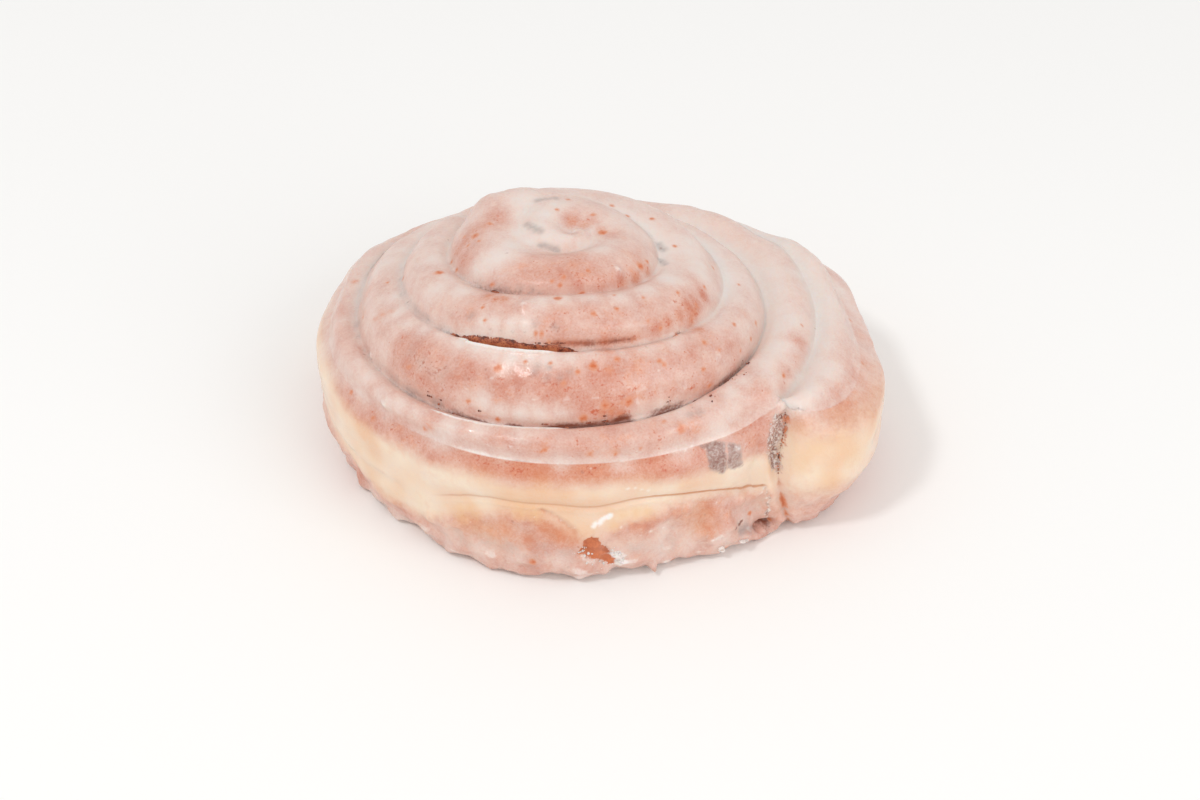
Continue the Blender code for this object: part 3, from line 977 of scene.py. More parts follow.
# %% Where the crust is browner, and where glaze pooled or ran off
GLOWS = (  # size in mm, strength, places where the crust fried orange
    (2.6, 0.9, (
        (465, 520), (478, 523), (492, 526), (505, 530), (545, 527), (556, 534), (569, 537), (703, 502),
        (705, 514), (702, 527), (713, 532),
    )),
    (2.2, 0.5, ((610, 514), (622, 511), (640, 508), (660, 505), (683, 508), (590, 545), (640, 530), (530, 536))),
    (2.2, 0.35, (
        (458, 250), (466, 240), (474, 232), (484, 226), (575, 264), (590, 272), (604, 280), (560, 276),
        (540, 270),
    )),
    (1.6, 0.7, ((625, 284), (637, 279), (648, 272), (600, 231), (584, 224), (572, 221))),
    (2.2, 0.35, (
        (690, 309), (680, 315), (668, 321), (600, 398), (624, 400), (610, 376), (560, 392), (440, 366),
        (455, 378), (470, 390),
    )),
    (2.4, 0.45, ((795, 420), (806, 424), (785, 434), (740, 430), (752, 440), (690, 470), (705, 462))),
)
POOLED = (  # size in mm, strength, places in the picture
    (3.4, 1.0, (
        (522, 200), (528, 212), (545, 214), (538, 226), (520, 232), (530, 240), (512, 246), (500, 256),
        (548, 236),
    )),
    (3.2, 0.6, ((480, 346), (488, 344), (770, 300), (778, 322), (776, 350), (806, 386), (800, 398), (770, 380))),
    (2.6, 0.8, ((565, 238), (582, 244), (598, 248), (486, 262), (478, 270), (556, 204))),
    (3.0, 0.8, ((690, 252), (697, 262), (688, 242), (700, 272), (668, 280))),
    (2.2, 0.7, ((560, 300), (590, 299), (620, 297), (648, 290), (668, 278), (540, 303))),
    (3.5, 0.9, ((772, 290), (776, 310), (778, 330), (774, 345), (766, 276), (790, 320), (764, 362))),
    (3.0, 0.8, ((826, 300), (828, 320), (824, 345), (820, 365), (812, 290), (800, 275), (840, 290))),
    (3.6, 0.9, ((806, 376), (796, 390), (812, 392), (788, 402), (804, 406), (830, 372))),
    (2.2, 1.0, ((448, 332), (462, 340), (478, 346), (494, 352), (512, 355), (530, 358), (548, 359))),
    (2.0, 0.8, ((590, 350), (620, 350), (650, 348), (676, 342), (570, 356))),
    (2.0, 0.7, ((398, 312), (408, 324), (424, 330), (392, 298))),
    (3.0, 0.6, ((402, 248), (386, 262), (420, 236), (372, 278), (436, 222), (432, 258))),
    (2.4, 0.7, ((446, 262), (450, 276), (440, 286), (462, 290), (430, 292))),
    (2.2, 0.8, ((500, 410), (520, 413), (540, 412), (484, 402), (560, 408))),
    (2.2, 0.8, ((660, 411), (680, 408), (700, 402), (640, 414), (730, 392), (744, 380))),
    (2.4, 0.6, ((380, 392), (398, 402), (416, 412), (370, 376), (386, 404), (450, 428), (440, 438))),
    (2.4, 0.55, (
        (480, 432), (440, 432), (520, 436), (560, 462), (620, 462), (680, 448), (720, 428), (500, 450),
        (730, 418),
    )),
    (1.8, 0.8, ((494, 326), (510, 325), (524, 327), (482, 323), (510, 331))),
    (2.6, 0.5, (
        (400, 520), (424, 534), (450, 546), (376, 500), (620, 560), (660, 550), (560, 562), (520, 556),
        (480, 548),
    )),
    (3.2, 0.5, ((660, 528), (690, 540), (724, 540), (640, 540), (742, 522))),
)
BARE = (  # size in mm, strength, places
    (3.2, 0.55, ((458, 250), (466, 240), (474, 232), (484, 226), (496, 218), (462, 262))),
    (3.4, 0.32, (
        (520, 272), (545, 272), (565, 270), (590, 274), (610, 274), (632, 272), (545, 262), (572, 260),
        (604, 264), (640, 262),
    )),
    (1.6, 0.6, ((600, 284), (620, 283), (636, 279), (648, 272), (580, 284))),
    (2.4, 0.6, ((572, 222), (584, 226), (600, 231), (614, 232), (592, 220))),
    (2.6, 0.4, ((590, 310), (620, 312), (650, 304), (680, 300), (560, 312))),
    (1.7, 0.9, ((690, 309), (696, 303), (680, 315), (668, 321), (656, 326), (704, 296))),
    (4.2, 0.4, (
        (600, 370), (630, 366), (660, 356), (690, 356), (712, 346), (730, 346), (590, 390), (620, 388),
        (560, 392), (736, 360), (705, 378),
    )),
    (2.2, 0.5, ((610, 376), (640, 388), (600, 398), (624, 400), (590, 412), (566, 398))),
    (3.4, 0.48, (
        (400, 345), (420, 352), (412, 366), (436, 366), (450, 380), (470, 370), (490, 372), (500, 386),
        (430, 380), (520, 380), (540, 388),
    )),
    (2.0, 0.6, ((590, 408), (610, 404), (630, 400), (650, 396), (670, 390), (690, 386))),
    (2.6, 0.35, ((500, 446), (540, 446), (580, 448), (620, 446), (655, 440), (690, 428))),
    (2.6, 0.5, ((784, 372), (796, 360), (800, 340), (784, 384), (764, 392))),
    (3.0, 0.4, ((836, 396), (846, 388), (826, 408), (858, 376), (842, 406), (862, 362))),
    (3.2, 0.3, ((345, 310), (348, 330), (352, 350), (340, 345), (430, 356), (416, 352), (424, 372))),
    (2.4, 0.4, ((360, 420), (372, 414), (400, 424), (430, 424), (346, 400))),
    (3.0, 0.3, ((740, 430), (752, 440), (756, 424), (745, 455))),
    (2.2, 0.7, ((791, 424), (800, 428), (806, 422))),
    (2.6, 0.8, (
        (475, 522), (462, 526), (490, 530), (528, 539), (561, 533), (548, 528), (576, 536), (710, 510),
        (706, 528), (716, 520), (636, 520), (650, 524),
    )),
)
MOST_MILK = 1.15  # where glaze pools deepest
toast = np.maximum(toast, dabs(GLOWS))
for size, strength, places in POOLED:
    milk += (MOST_MILK - milk) * strength * near(places, size)
for size, strength, places in BARE:
    milk *= 1.0 - strength * near(places, size)
print("mean of milk on top now:", float(milk[zone == TOP].mean().round(2)))

# %% Burst bubbles
BUBBLES = (  # size in mm, strength, places
    (0.95, 1.0, (
        (438, 273), (476, 235), (604, 232), (582, 296), (558, 298), (640, 265), (497, 368), (593, 365),
        (606, 405), (583, 417), (680, 428), (628, 400),
    )),
    (0.7, 0.75, (
        (452, 262), (458, 269), (492, 223), (493, 284), (568, 200), (557, 209), (612, 206), (627, 216),
        (593, 216), (648, 262), (564, 277), (593, 314), (616, 308), (676, 335), (713, 268), (706, 288),
        (678, 293), (660, 326), (652, 219), (674, 246), (705, 343), (733, 323), (757, 323), (751, 338),
        (660, 363), (617, 358), (577, 370), (563, 385), (785, 376), (410, 365), (545, 450), (372, 418),
        (424, 428), (403, 278), (696, 305), (618, 361), (664, 362), (703, 368), (710, 386), (498, 418),
        (352, 392), (468, 402),
    )),
    (0.6, 0.66, (
        (552, 280), (560, 284), (588, 271), (614, 295), (643, 296), (648, 320), (388, 282), (363, 318),
        (483, 308), (485, 319), (802, 325), (850, 320), (863, 363), (740, 284), (590, 455), (616, 455),
        (502, 296), (496, 293), (540, 452), (640, 449), (536, 333), (542, 334), (548, 345), (720, 352),
        (740, 350), (470, 244), (480, 240), (664, 420), (466, 236), (526, 362), (550, 365), (630, 398),
        (622, 402),
    )),
    (1.3, 0.45, (
        (384, 314), (376, 318), (391, 311), (355, 282), (590, 455), (616, 452), (545, 448), (430, 427),
        (640, 396), (610, 372),
    )),
    (0.8, 1.0, ((533, 563),)),
    (0.5, 1.0, ((751, 514), (759, 520), (769, 519))),
    (0.7, 0.8, ((788, 421), (790, 418))),
)
HIDDEN_BUBBLES, LARGER_ONES = 70, 25  # on the sides that the photograph doesn't show
hidden = np.nonzero(~faces_camera & (zone != UNDER) & ((wall_share > 0.9) | (wall_share < 0.3)))[0]
hidden_spots = skin_points[np.random.default_rng(41).choice(hidden, HIDDEN_BUBBLES)]
tail_rust = bell(from_notch, 0.32) * (1.0 + clouds((0.9, 1.0, 42))) * side * ease((0.5 - wall_share) / 0.1)
burst = np.maximum.reduce([
    dabs(BUBBLES), 0.4 * fold_line, 0.65 * tail_rust,
    0.9 * around(hidden_spots[:LARGER_ONES], 0.8), 0.7 * around(hidden_spots[LARGER_ONES:], 0.55),
])
print("burst bubbles cover", int((burst > 0.5).sum()), "vertices")

# %% Cinnamon behind the glaze, and painted shade
WINDOW = ((704, 443), (716, 440), (726, 442), (728, 469), (722, 475), (709, 470), (706, 456))
WINDOW_RIGHT = ((727, 441), (741, 444), (744, 466), (734, 470), (727, 469))
WINDOW_CORNER = ((697, 446), (706, 438), (716, 437), (711, 443), (704, 450))
NOTCH_PATCH = (
    (774, 414), (790, 412), (789, 424), (784, 434), (780, 444), (780, 458), (779, 471), (775, 476), (770, 466),
    (766, 452), (767, 438), (770, 425),
)
NOTCH_EDGE = ((787, 415), (786, 425), (782, 434), (780, 445), (779, 457), (777, 470))
SMUDGES_AND_SHADE = (  # size in mm, strength, places
    (1.6, 0.5, (
        (535, 372), (538, 368), (546, 376), (560, 378), (570, 374), (548, 366), (500, 291), (520, 290),
        (532, 292), (470, 316), (535, 322), (556, 326), (700, 412), (690, 414),
    )),
    # painted shade on the left of the strip, which faces away from the light
    (3.5, 0.38, ((430, 370), (420, 362), (440, 378), (412, 352), (448, 372))),
    # painted shade along the bottom of the front wall
    (3.6, 0.36, ((462, 538), (486, 542), (512, 547), (540, 550), (566, 551), (640, 548), (668, 545))),
    (1.2, 0.6, ((787, 508), (786, 512))),
)
STREAKS = (
    ((526, 224), (533, 228), (541, 231)),
    ((541, 245), (548, 247), (557, 250)),
    ((537, 201), (546, 199), (556, 198)),
    ((660, 244), (663, 250)),
    ((660, 260), (664, 264)),
)
# strength of each mark; outlines ease in over a few pixels
# The dent (recess) and the slope into the pit (pit_slope) get painted shade here, in the grey of cinnamon under
# glaze.
smoke_and_shade = np.maximum.reduce([
    smoke_and_shade, 0.75 * inside(WINDOW, 6.0), 0.72 * inside(WINDOW_RIGHT, 4.0), 0.6 * inside(WINDOW_CORNER, 4.0),
    0.3 * recess, 0.75 * pit_slope, dabs(SMUDGES_AND_SHADE), 0.6 * inside(NOTCH_PATCH, 12.0),
])
stain = np.maximum.reduce([0.62 * near(along_line(streak, 1.5), 1.15) for streak in STREAKS])
print("cinnamon shows through on", int((smoke_and_shade > 0.3).sum()), "vertices")

# %% Bare cinnamon beside the groove, and the pit's painted shade
DOTS = (  # size in mm, strength, places
    (0.45, 1.0, (
        (448, 240), (408, 303), (815, 328), (507, 253), (560, 327), (647, 348), (364, 355), (693, 408),
        (645, 347),
    )),
    (0.7, 1.0, ((667, 406), (680, 400), (662, 248), (662, 262), (372, 360))),
)
NOTCH_TOP = ((786, 414), (789, 415))
SLIT = ((735, 530), (739, 525), (742, 520))
WEB_CRUMBS = ((766, 489), (769, 496), (769, 504), (768, 512), (767, 519))
CRUMBLY_SPOTS = ((490, 328), (500, 330), (512, 331), (524, 333), (535, 335), (603, 420), (608, 418), (666, 404))
SMEAR = ((556, 345), (575, 346), (600, 345), (618, 343), (632, 341))
SMEAR_TOP = ((554, 341), (575, 342), (600, 341), (618, 339), (630, 337))
notch_patch = inside(NOTCH_PATCH, 5.0)
tail_dark = (0.3 * near(along_line(NOTCH_EDGE), 0.5) + 0.12 * notch_patch) * (1.0 + clouds((0.8, 1.3, 19)))
window = np.maximum(0.46 * inside(WINDOW, 6.5), 0.43 * inside(WINDOW_RIGHT, 5.0)) * (1.0 + clouds((0.22, 1.5, 51)))
# The pit is painted dark in the cinnamon's colour as the shade inside it.
seam_and_shade = np.maximum.reduce([
    seam_and_shade, 0.5 * dabs(DOTS), window, 0.38 * inside(WINDOW_CORNER, 3.0), pit, tail_dark,
    0.55 * near(NOTCH_TOP, 0.7), 0.7 * near(along_line(SLIT), 0.45),
    0.42 * near(along_line(SMEAR_TOP, 1.5), 0.45) * (1.0 + clouds((0.5, 1.2, 45))),
])
crumbly = np.maximum.reduce([
    notch_patch * (0.72 + clouds((0.3, 1.6, 46))), 0.4 * inside(WINDOW_CORNER, 4.0), 1.2 * window,
    0.45 * near(CRUMBLY_SPOTS, 0.9), 0.55 * near(along_line(WEB_CRUMBS), 0.8) * (1.0 + clouds((0.5, 1.3, 49))),
])
scar = np.maximum(scar, 0.5 * near(along_line(NOTCH_EDGE), 0.38))
smear = 0.75 * near(along_line(SMEAR, 1.5), 1.0) * (1.0 + clouds((0.3, 1.6, 44)))
smear = np.maximum(smear, 0.42 * in_front * ease((1606.0 - along) / 14.0) * bell(off_crease, 0.4))
print("bare cinnamon on", int((seam_and_shade > 0.5).sum()), "vertices")

# %% Fat, dried sugar, gloss and painted highlights
FAT = (  # size in mm, strength, places
    (2.2, 0.8, (
        (460, 510), (470, 508), (476, 514), (462, 518), (610, 516), (622, 514), (636, 512), (648, 512),
        (614, 526), (520, 512), (534, 516),
    )),
    (4.5, 0.6, ((820, 450), (842, 440), (800, 462), (830, 480), (854, 458))),
)
RIGHT_FLAKES = (
    (608, 554), (614, 551), (622, 551), (627, 555), (623, 559), (629, 562), (620, 567), (612, 563), (615, 558),
)
LEFT_FLAKES = ((578, 552), (590, 556), (598, 562), (592, 566), (582, 561))
WET = (
    (430, 436), (450, 440), (470, 444), (490, 447), (510, 450), (440, 428), (600, 520), (594, 526), (608, 516),
    (455, 512), (470, 520), (600, 548), (640, 552), (680, 545), (620, 540), (560, 548), (785, 418), (800, 420),
    (520, 295), (500, 288), (476, 286), (680, 424), (688, 420),
)
# The glint places below are painted highlights: white patches where wet glaze caught the light on the crest, the
# wall and the foot.
BROAD_GLINT = ((474, 441), (480, 443), (487, 445), (494, 447), (462, 437), (510, 447))
WALL_GLINT = ((594, 526), (602, 520), (610, 516))
# painted highlights: small white dabs where the wet glaze shone
PAINTED_GLINTS = (  # size in mm, strength, places
    (0.7, 0.7, ((629, 489), (635, 488), (642, 489), (649, 491))),
    (0.8, 0.75, ((714, 541), (718, 539), (722, 537))),
    (0.6, 0.7, ((763, 493), (766, 498), (745, 444), (686, 450), (692, 447), (622, 528), (650, 531), (664, 527))),
    (0.45, 0.6, (
        (471, 521), (483, 538), (534, 517), (560, 520), (575, 528), (700, 498), (716, 503), (640, 536),
        (676, 534), (590, 468), (706, 449),
    )),
)
low_wall = between(wall_share, 0.2, 0.5, 0.15, 0.1) * side
fat = np.maximum(dabs(FAT), 0.3 * ease(0.5 + clouds((1.5, 6.0, 29))) * low_wall)
flakes_and_ripple_glints = np.maximum(0.6 * inside(RIGHT_FLAKES, 3.0), 0.45 * inside(LEFT_FLAKES, 3.0))
# the raised crests of the foot's ripples are whitened too, as a painted highlight
flakes_and_ripple_glints = flakes_and_ripple_glints + 0.5 * rippled * ease((ripples - 0.2) / 0.5)
# the rim's bead of glaze is white, and whiter on the front left as a painted highlight
white_bead_and_highlight = (0.3 + 0.3 * between(along, 1618.0, 1652.0, 15.0, 12.0)) * ridge * (from_rim > -0.3)
# painted glints: white at the places above and on the wrinkled crest
glints = np.maximum.reduce([
    near(BROAD_GLINT, 0.7) * (0.6 + clouds((0.5, 1.0, 47))), dabs(PAINTED_GLINTS),
    0.6 * sparkle * ease((cloud(skin_points, 1.3, 48) - 0.1) / 0.4),
])
# White of dried sugar at the flakes. At the lips of glaze, the bubble domes and the rim's bead it is thick white
# glaze and painted highlight together, and at the glints it is painted highlight only.
sugar_and_highlights = np.maximum.reduce([
    lip_line, 0.85 * next_lips, flakes_and_ripple_glints, white_bead_and_highlight, 0.5 * domes, 0.75 * glints,
    0.8 * near(along_line(WALL_GLINT, 3.0), 0.8),
])
wet = 0.2 + clouds((0.25, 6.0, 18)) + 0.2 * side
wet = np.maximum.reduce([wet, near(WET, 2.6), sparkle, lip_line, next_lips, 0.8 * ridge, domes, 0.8 * seam_and_shade])
wet = np.clip(wet, 0.0, 1.0)
print("dried sugar on", int((sugar_and_highlights > 0.5).sum()), "vertices")

# %% [markdown]
# ## The skin as a mesh
#
# The numbers ride on the mesh as attributes, one value a vertex, so that the material can mix its
# layers by them. Triangles are spent evenly at about half a millimetre, which is finer than the
# smallest blister; anything finer is left to the material's noises.

# %% Make the mesh
def srgb(hex_colour):
    """#rrggbb to linear red, green, blue and 1: each share is divided by 12.92 below 0.04045, and
    otherwise raised to 2.4 after adding 0.055 and dividing by 1.055."""
    share = np.array([int(hex_colour[i : i + 2], 16) for i in (1, 3, 5)]) / 255.0
    linear = np.where(share <= 0.04045, share / 12.92, ((share + 0.055) / 1.055) ** 2.4)
    return (*linear.tolist(), 1.0)


def new_piece(name, points, face_groups, material, attributes=None):
    """A smooth mesh object from points in mm and groups of equal-sided faces, riding on the part."""
    mesh = bpy.data.meshes.new(name)
    mesh.from_pydata((points * MM).tolist(), [], [f for group in face_groups for f in group.tolist()])
    for label, values in (attributes or {}).items():
        mesh.attributes.new(label, "FLOAT", "POINT").data.foreach_set("value", values.astype(np.float32))
    mesh.shade_smooth()
    mesh.materials.append(material)
    piece = bpy.data.objects.new(name, mesh)
    bpy.context.scene.collection.objects.link(piece)
    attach(piece, "root")
    print(f"{name}: {len(mesh.vertices)} vertices, {sum(len(p.vertices) - 2 for p in mesh.polygons)} triangles")
    return piece


def add(tree, kind, inputs=None, **settings):
    """One node with its settings. inputs gives each input, by name or number, a value or a socket to
    link from."""
    made = tree.nodes.new(kind)
    for name, value in settings.items():
        setattr(made, name, value)
    for name, value in (inputs or {}).items():
        if isinstance(value, bpy.types.NodeSocket):
            tree.links.new(value, made.inputs[name])
        else:
            made.inputs[name].default_value = value
    return made


def per_mm(size):
    """Pattern scale for blobs of a size in mm, as Object coordinates are in metres."""
    return 1.0 / (size * MM)


# %% [markdown]
# ## Glazed crust
#
# The colour is built the way the roll was made: brown crust first, then the cream band, then the
# veil of glaze and a painted grey shade in the grooves, and on top the marks of cinnamon with some
# painted shade, burst bubbles, and dried sugar with painted highlights. Each layer takes one number,
# roughens its edge with a noise and mixes its colour in. One table of layers is shorter than a chain
# of nodes for each.

# %% Glazed crust
# Doughnut glaze on fried yeast dough: icing sugar and water poured over the hot crust. Hot oil
# browned the crust in blotches, and the glaze dried on it as a thin milky film. The eye sees pinkish
# brown through frosted sugar, whitest where it pooled, with small soft glints. Some glints are
# painted in as white, and grey shade is painted into the grooves, a dent, the pit and the foot.
crust = bpy.data.materials.new("sugar_glazed_fried_crust")
crust.use_nodes = True
tree = crust.node_tree
shader = tree.nodes["Principled BSDF"]
place = add(tree, "ShaderNodeTexCoord").outputs["Object"]
told = {
    name: add(tree, "ShaderNodeAttribute", attribute_name=name).outputs["Fac"]
    for name in (
        "milk", "seam_and_shade", "smoke_and_shade", "proof", "toast", "burst", "scar", "sugar_and_highlights", "wet", "crumbly", "fat", "creased",
        "off_crease", "groove_and_foot_shade", "smear", "stain",
    )
}
NOISES = (
    # size in mm, detail, roughness
    (5.5, 2.0, 0.5),  # blotches of browning
    (1.3, 4.0, 0.6),  # fine mottle
    (0.4, 2.0, 0.5),  # frost of dried glaze
    (0.55, 1.0, 0.5),  # grains of sugar
    (2.4, 4.0, 0.65),  # flushes of redder crust
    (9.0, 1.0, 0.5),  # how those gather on the whole roll
)
broad, fine, grain, grains, flush_fine, flush_broad = (
    add(
        tree, "ShaderNodeTexNoise",
        {"Vector": place, "Scale": per_mm(size), "Detail": detail, "Roughness": roughness},
    ).outputs["Fac"]
    for size, detail, roughness in NOISES
)
ragged = add(tree, "ShaderNodeMix", {0: 0.4, 2: fine, 3: grains}).outputs[0]
edge = add(tree, "ShaderNodeMath", {0: ragged, 1: 1.4, 2: -0.7}, operation="MULTIPLY_ADD").outputs[0]
flush = add(tree, "ShaderNodeMix", {0: 0.35, 2: flush_fine, 3: flush_broad}).outputs[0]
flecks = add(tree, "ShaderNodeMath", {0: told["milk"], 1: -0.3, 2: ragged}, operation="MULTIPLY_ADD").outputs[0]
flecks = add(tree, "ShaderNodeMath", {0: told["proof"], 1: -0.5, 2: flecks}, operation="MULTIPLY_ADD").outputs[0]
mottle = add(tree, "ShaderNodeMix", {0: 0.4, 2: broad, 3: fine}).outputs[0]
print(len(told), "attributes and", len(NOISES), "noises")

# %% Colours of the crust
brown = add(tree, "ShaderNodeValToRGB", {"Fac": mottle})
brown.color_ramp.elements[0].position, brown.color_ramp.elements[0].color = 0.36, srgb("#c87559")
brown.color_ramp.elements[1].position, brown.color_ramp.elements[1].color = 0.64, srgb("#dea590")
brown.color_ramp.elements.new(0.5).color = srgb("#d28b73")
blush = {0: flush_broad, 1: 2.4, 2: -0.7}
blush = add(tree, "ShaderNodeMath", blush, operation="MULTIPLY_ADD", use_clamp=True).outputs[0]
paler, darker, redder = (
    add(tree, "ShaderNodeMix", {0: share, 6: srgb(one), 7: srgb(other)}, data_type="RGBA").outputs[2]
    for share, one, other in (
        (blush, "#eebd90", "#f6e2c8"), (fine, "#52271e", "#a55c40"), (ragged, "#963210", "#ee8c50"),
    )
)
sugared = add(tree, "ShaderNodeValToRGB", {"Fac": grains})
sugared.color_ramp.elements[0].position, sugared.color_ramp.elements[0].color = 0.37, srgb("#85503f")
sugared.color_ramp.elements[1].position, sugared.color_ramp.elements[1].color = 0.63, srgb("#e6d7ce")
sugared.color_ramp.elements.new(0.48).color = srgb("#b0938b")
print("colours ready")

# %% Veil of glaze, pinholes and crease
veil = add(tree, "ShaderNodeMath", {0: mottle, 1: 0.5}, operation="SUBTRACT").outputs[0]
veil = add(tree, "ShaderNodeMath", {0: veil, 1: 0.7, 2: told["milk"]}, operation="MULTIPLY_ADD").outputs[0]
frost = add(tree, "ShaderNodeMath", {0: grain, 1: 0.5}, operation="SUBTRACT").outputs[0]
veil = {0: frost, 1: 0.55, 2: veil}
veil = add(tree, "ShaderNodeMath", veil, operation="MULTIPLY_ADD", use_clamp=True).outputs[0]
cells = add(tree, "ShaderNodeTexVoronoi", {"Vector": place, "Scale": per_mm(4.0)})
chosen = add(tree, "ShaderNodeMath", {0: cells.outputs["Color"], 1: 0.62}, operation="GREATER_THAN").outputs[0]
pinholes = {"Value": cells.outputs["Distance"], "From Min": 0.13, "From Max": 0.06, "To Max": 0.75}
pinholes = add(tree, "ShaderNodeMapRange", pinholes).outputs[0]
pinholes = add(tree, "ShaderNodeMath", {0: pinholes, 1: chosen}, operation="MULTIPLY").outputs[0]
off_line = add(tree, "ShaderNodeMath", {0: told["off_crease"]}, operation="ABSOLUTE").outputs[0]
thin_line = add(tree, "ShaderNodeMapRange", {"Value": off_line, "From Min": 0.42, "From Max": 0.1}).outputs[0]
thin_line = add(tree, "ShaderNodeMath", {0: thin_line, 1: told["creased"]}, operation="MULTIPLY").outputs[0]
print("veil and marks ready")

# %% Mix the layers
LAYERS = (
    # what gives the layer's share, how far its edge wanders, share where it begins, where it is full, colour
    (told["toast"], 0.0, 0.0, 1.0, srgb("#d0733f")),
    (pinholes, 0.0, 0.0, 1.0, srgb("#b5562c")),
    (flush, 0.0, 0.5, 0.76, srgb("#da7e50")),
    (told["proof"], 0.25, 0.05, 0.95, paler),
    (flush, 0.0, 0.5, 1.1, srgb("#e9a072")),
    (veil, 0.0, -0.25, 1.25, srgb("#e9d5cb")),
    (flecks, 0.0, 0.43, 0.64, srgb("#c9633d")),
    # painted shade in the grooves and at the front of the foot, in grey
    (told["groove_and_foot_shade"], 0.3, 0.1, 1.9, srgb("#d3c8c1")),
    (told["milk"], 0.35, 0.88, 1.35, srgb("#e7dcd5")),
    (told["fat"], 0.5, 0.15, 1.4, srgb("#ecbd8a")),
    # cinnamon under glaze, and painted shade in the dent, on the pit's slope, on the left of the strip and along the
    # foot of the front wall
    (told["smoke_and_shade"], 0.5, 0.15, 1.0, srgb("#a8908a")),
    (thin_line, 0.0, 0.0, 1.0, srgb("#cc8350")),
    (told["smear"], 0.4, 0.2, 1.0, srgb("#b05c3c")),
    (told["crumbly"], 1.0, 0.27, 0.8, sugared.outputs["Color"]),
    (told["stain"], 0.25, 0.1, 1.25, srgb("#857b79")),
    # bare cinnamon, and painted shade inside the pit
    (told["seam_and_shade"], 0.6, 0.25, 0.8, darker),
    (told["burst"], 0.55, 0.12, 0.7, srgb("#dc9472")),
    (told["burst"], 0.9, 0.45, 1.1, srgb("#d06a36")),
    (told["scar"], 1.1, 0.35, 0.6, redder),
    # dried sugar and painted highlights, in white
    (told["sugar_and_highlights"], 0.4, 0.2, 0.8, srgb("#f8f1ec")),
)
seen = brown.outputs["Color"]
for share, wander_by, begins, full, colour in LAYERS:
    share = add(tree, "ShaderNodeMath", {0: edge, 1: wander_by, 2: share}, operation="MULTIPLY_ADD").outputs[0]
    share = {"Value": share, "From Min": begins, "From Max": full}
    share = add(tree, "ShaderNodeMapRange", share, interpolation_type="SMOOTHSTEP").outputs[0]
    seen = add(tree, "ShaderNodeMix", {0: share, 6: seen, 7: colour}, data_type="RGBA").outputs[2]
tree.links.new(seen, shader.inputs["Base Color"])
print(len(LAYERS), "layers")

# %% Bump, gloss and the light that shines through
skin_height = add(tree, "ShaderNodeMix", {0: 0.4, 2: fine, 3: grain}).outputs[0]
bump = add(tree, "ShaderNodeBump", {"Height": skin_height, "Strength": 0.4, "Distance": 0.0003}).outputs["Normal"]
tree.links.new(bump, shader.inputs["Normal"])
tree.links.new(bump, shader.inputs["Coat Normal"])
wet_share = add(tree, "ShaderNodeMapRange", {"Value": told["wet"], "To Min": 0.12, "To Max": 1.0}).outputs[0]
tree.links.new(wet_share, shader.inputs["Coat Weight"])
dryness = add(tree, "ShaderNodeMapRange", {"Value": told["wet"], "To Min": 0.5, "To Max": 0.32}).outputs[0]
tree.links.new(dryness, shader.inputs["Roughness"])
shader.inputs["IOR"].default_value = 1.45
shader.inputs["Subsurface Weight"].default_value = 0.25
shader.inputs["Subsurface Radius"].default_value = (1.0, 0.55, 0.35)
shader.inputs["Subsurface Scale"].default_value = 0.0014
shader.inputs["Coat Roughness"].default_value = 0.08

creased = in_front * (0.4 + 0.3 * ease((1615.0 - along) / 20.0))
skin = new_piece(
    "glazed_dough", skin_points, (four_sided, three_sided), crust,
    {
        "milk": np.clip(milk, 0.0, 1.2), "seam_and_shade": seam_and_shade, "smoke_and_shade": smoke_and_shade, "proof": proof, "toast": toast,
        "burst": burst, "scar": scar, "sugar_and_highlights": sugar_and_highlights, "wet": wet, "crumbly": crumbly, "fat": fat,
        "creased": creased, "off_crease": off_crease, "groove_and_foot_shade": groove_and_foot_shade, "smear": smear, "stain": stain,
    },
)
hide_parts("dough")

# %% [markdown]
# ## Cinnamon filling
#
# Butter, sugar and cinnamon were spread on the dough before it was wound up. Frying turned them into a
# dark crumbly seam. It shows only where the groove stands open: in the crack at the front, in broken
# dashes one turn further out, and where the strip ends beside the notch. It is one ribbon that runs
# with the groove, and its height above the groove's bottom wanders, so that the glaze drowns it in
# places.

# %% Height of the ribbon
RIBBON_START, RIBBON_END = 140.0, NOTCH - 6.0  # degrees along the groove
RIBBON_BASE, RIBBON_COLUMNS = 1.0, 2400  # its foot's height in mm
RIBBON = (
    # angle along the groove, top of the ribbon above the bottom of the groove in mm, half thickness
    (140, -0.8, 0.15),
    (300, -0.8, 0.2),
    (440, -0.7, 0.25),
    (545, -0.6, 0.25),
    (560, -0.05, 0.3),
    (586, 0.05, 0.3),
    (600, -0.5, 0.3),
    (700, -0.7, 0.25),
    (866, -0.7, 0.3),
    (884, -0.6, 0.35),
    (894, 0.3, 0.4),
    (906, 2.1, 0.5),
    (924, 2.3, 0.5),
    (934, 1.5, 0.45),
    (941, 0.5, 0.35),
    (947, -0.3, 0.3),
    (960, -0.7, 0.3),
    (1210, -0.6, 0.3),
    (1231, -0.1, 0.35),
    (1240, -0.7, 0.3),
    (1247, 0.1, 0.35),
    (1254, 0.25, 0.4),
    (1264, 0.25, 0.4),
    (1269, -0.6, 0.3),
    (1274, 0.1, 0.3),
    (1279, -0.7, 0.3),
    (1288, 0.05, 0.3),
    (1296, -0.5, 0.3),
    (1325, -0.6, 0.3),
    (1400, -0.8, 0.3),
    (1561, -0.8, 0.3),
)
ROUND_SIDE = np.array([-1.0, -1.0, -1.0, -0.97, -0.8, -0.45, 0.0, 0.45, 0.8, 0.97, 1.0, 1.0, 1.0])
ROUND_DROP = np.array([99.0, 5.0, 1.8, 0.8, 0.28, 0.06, 0.0, 0.06, 0.28, 0.8, 1.8, 5.0, 99.0])


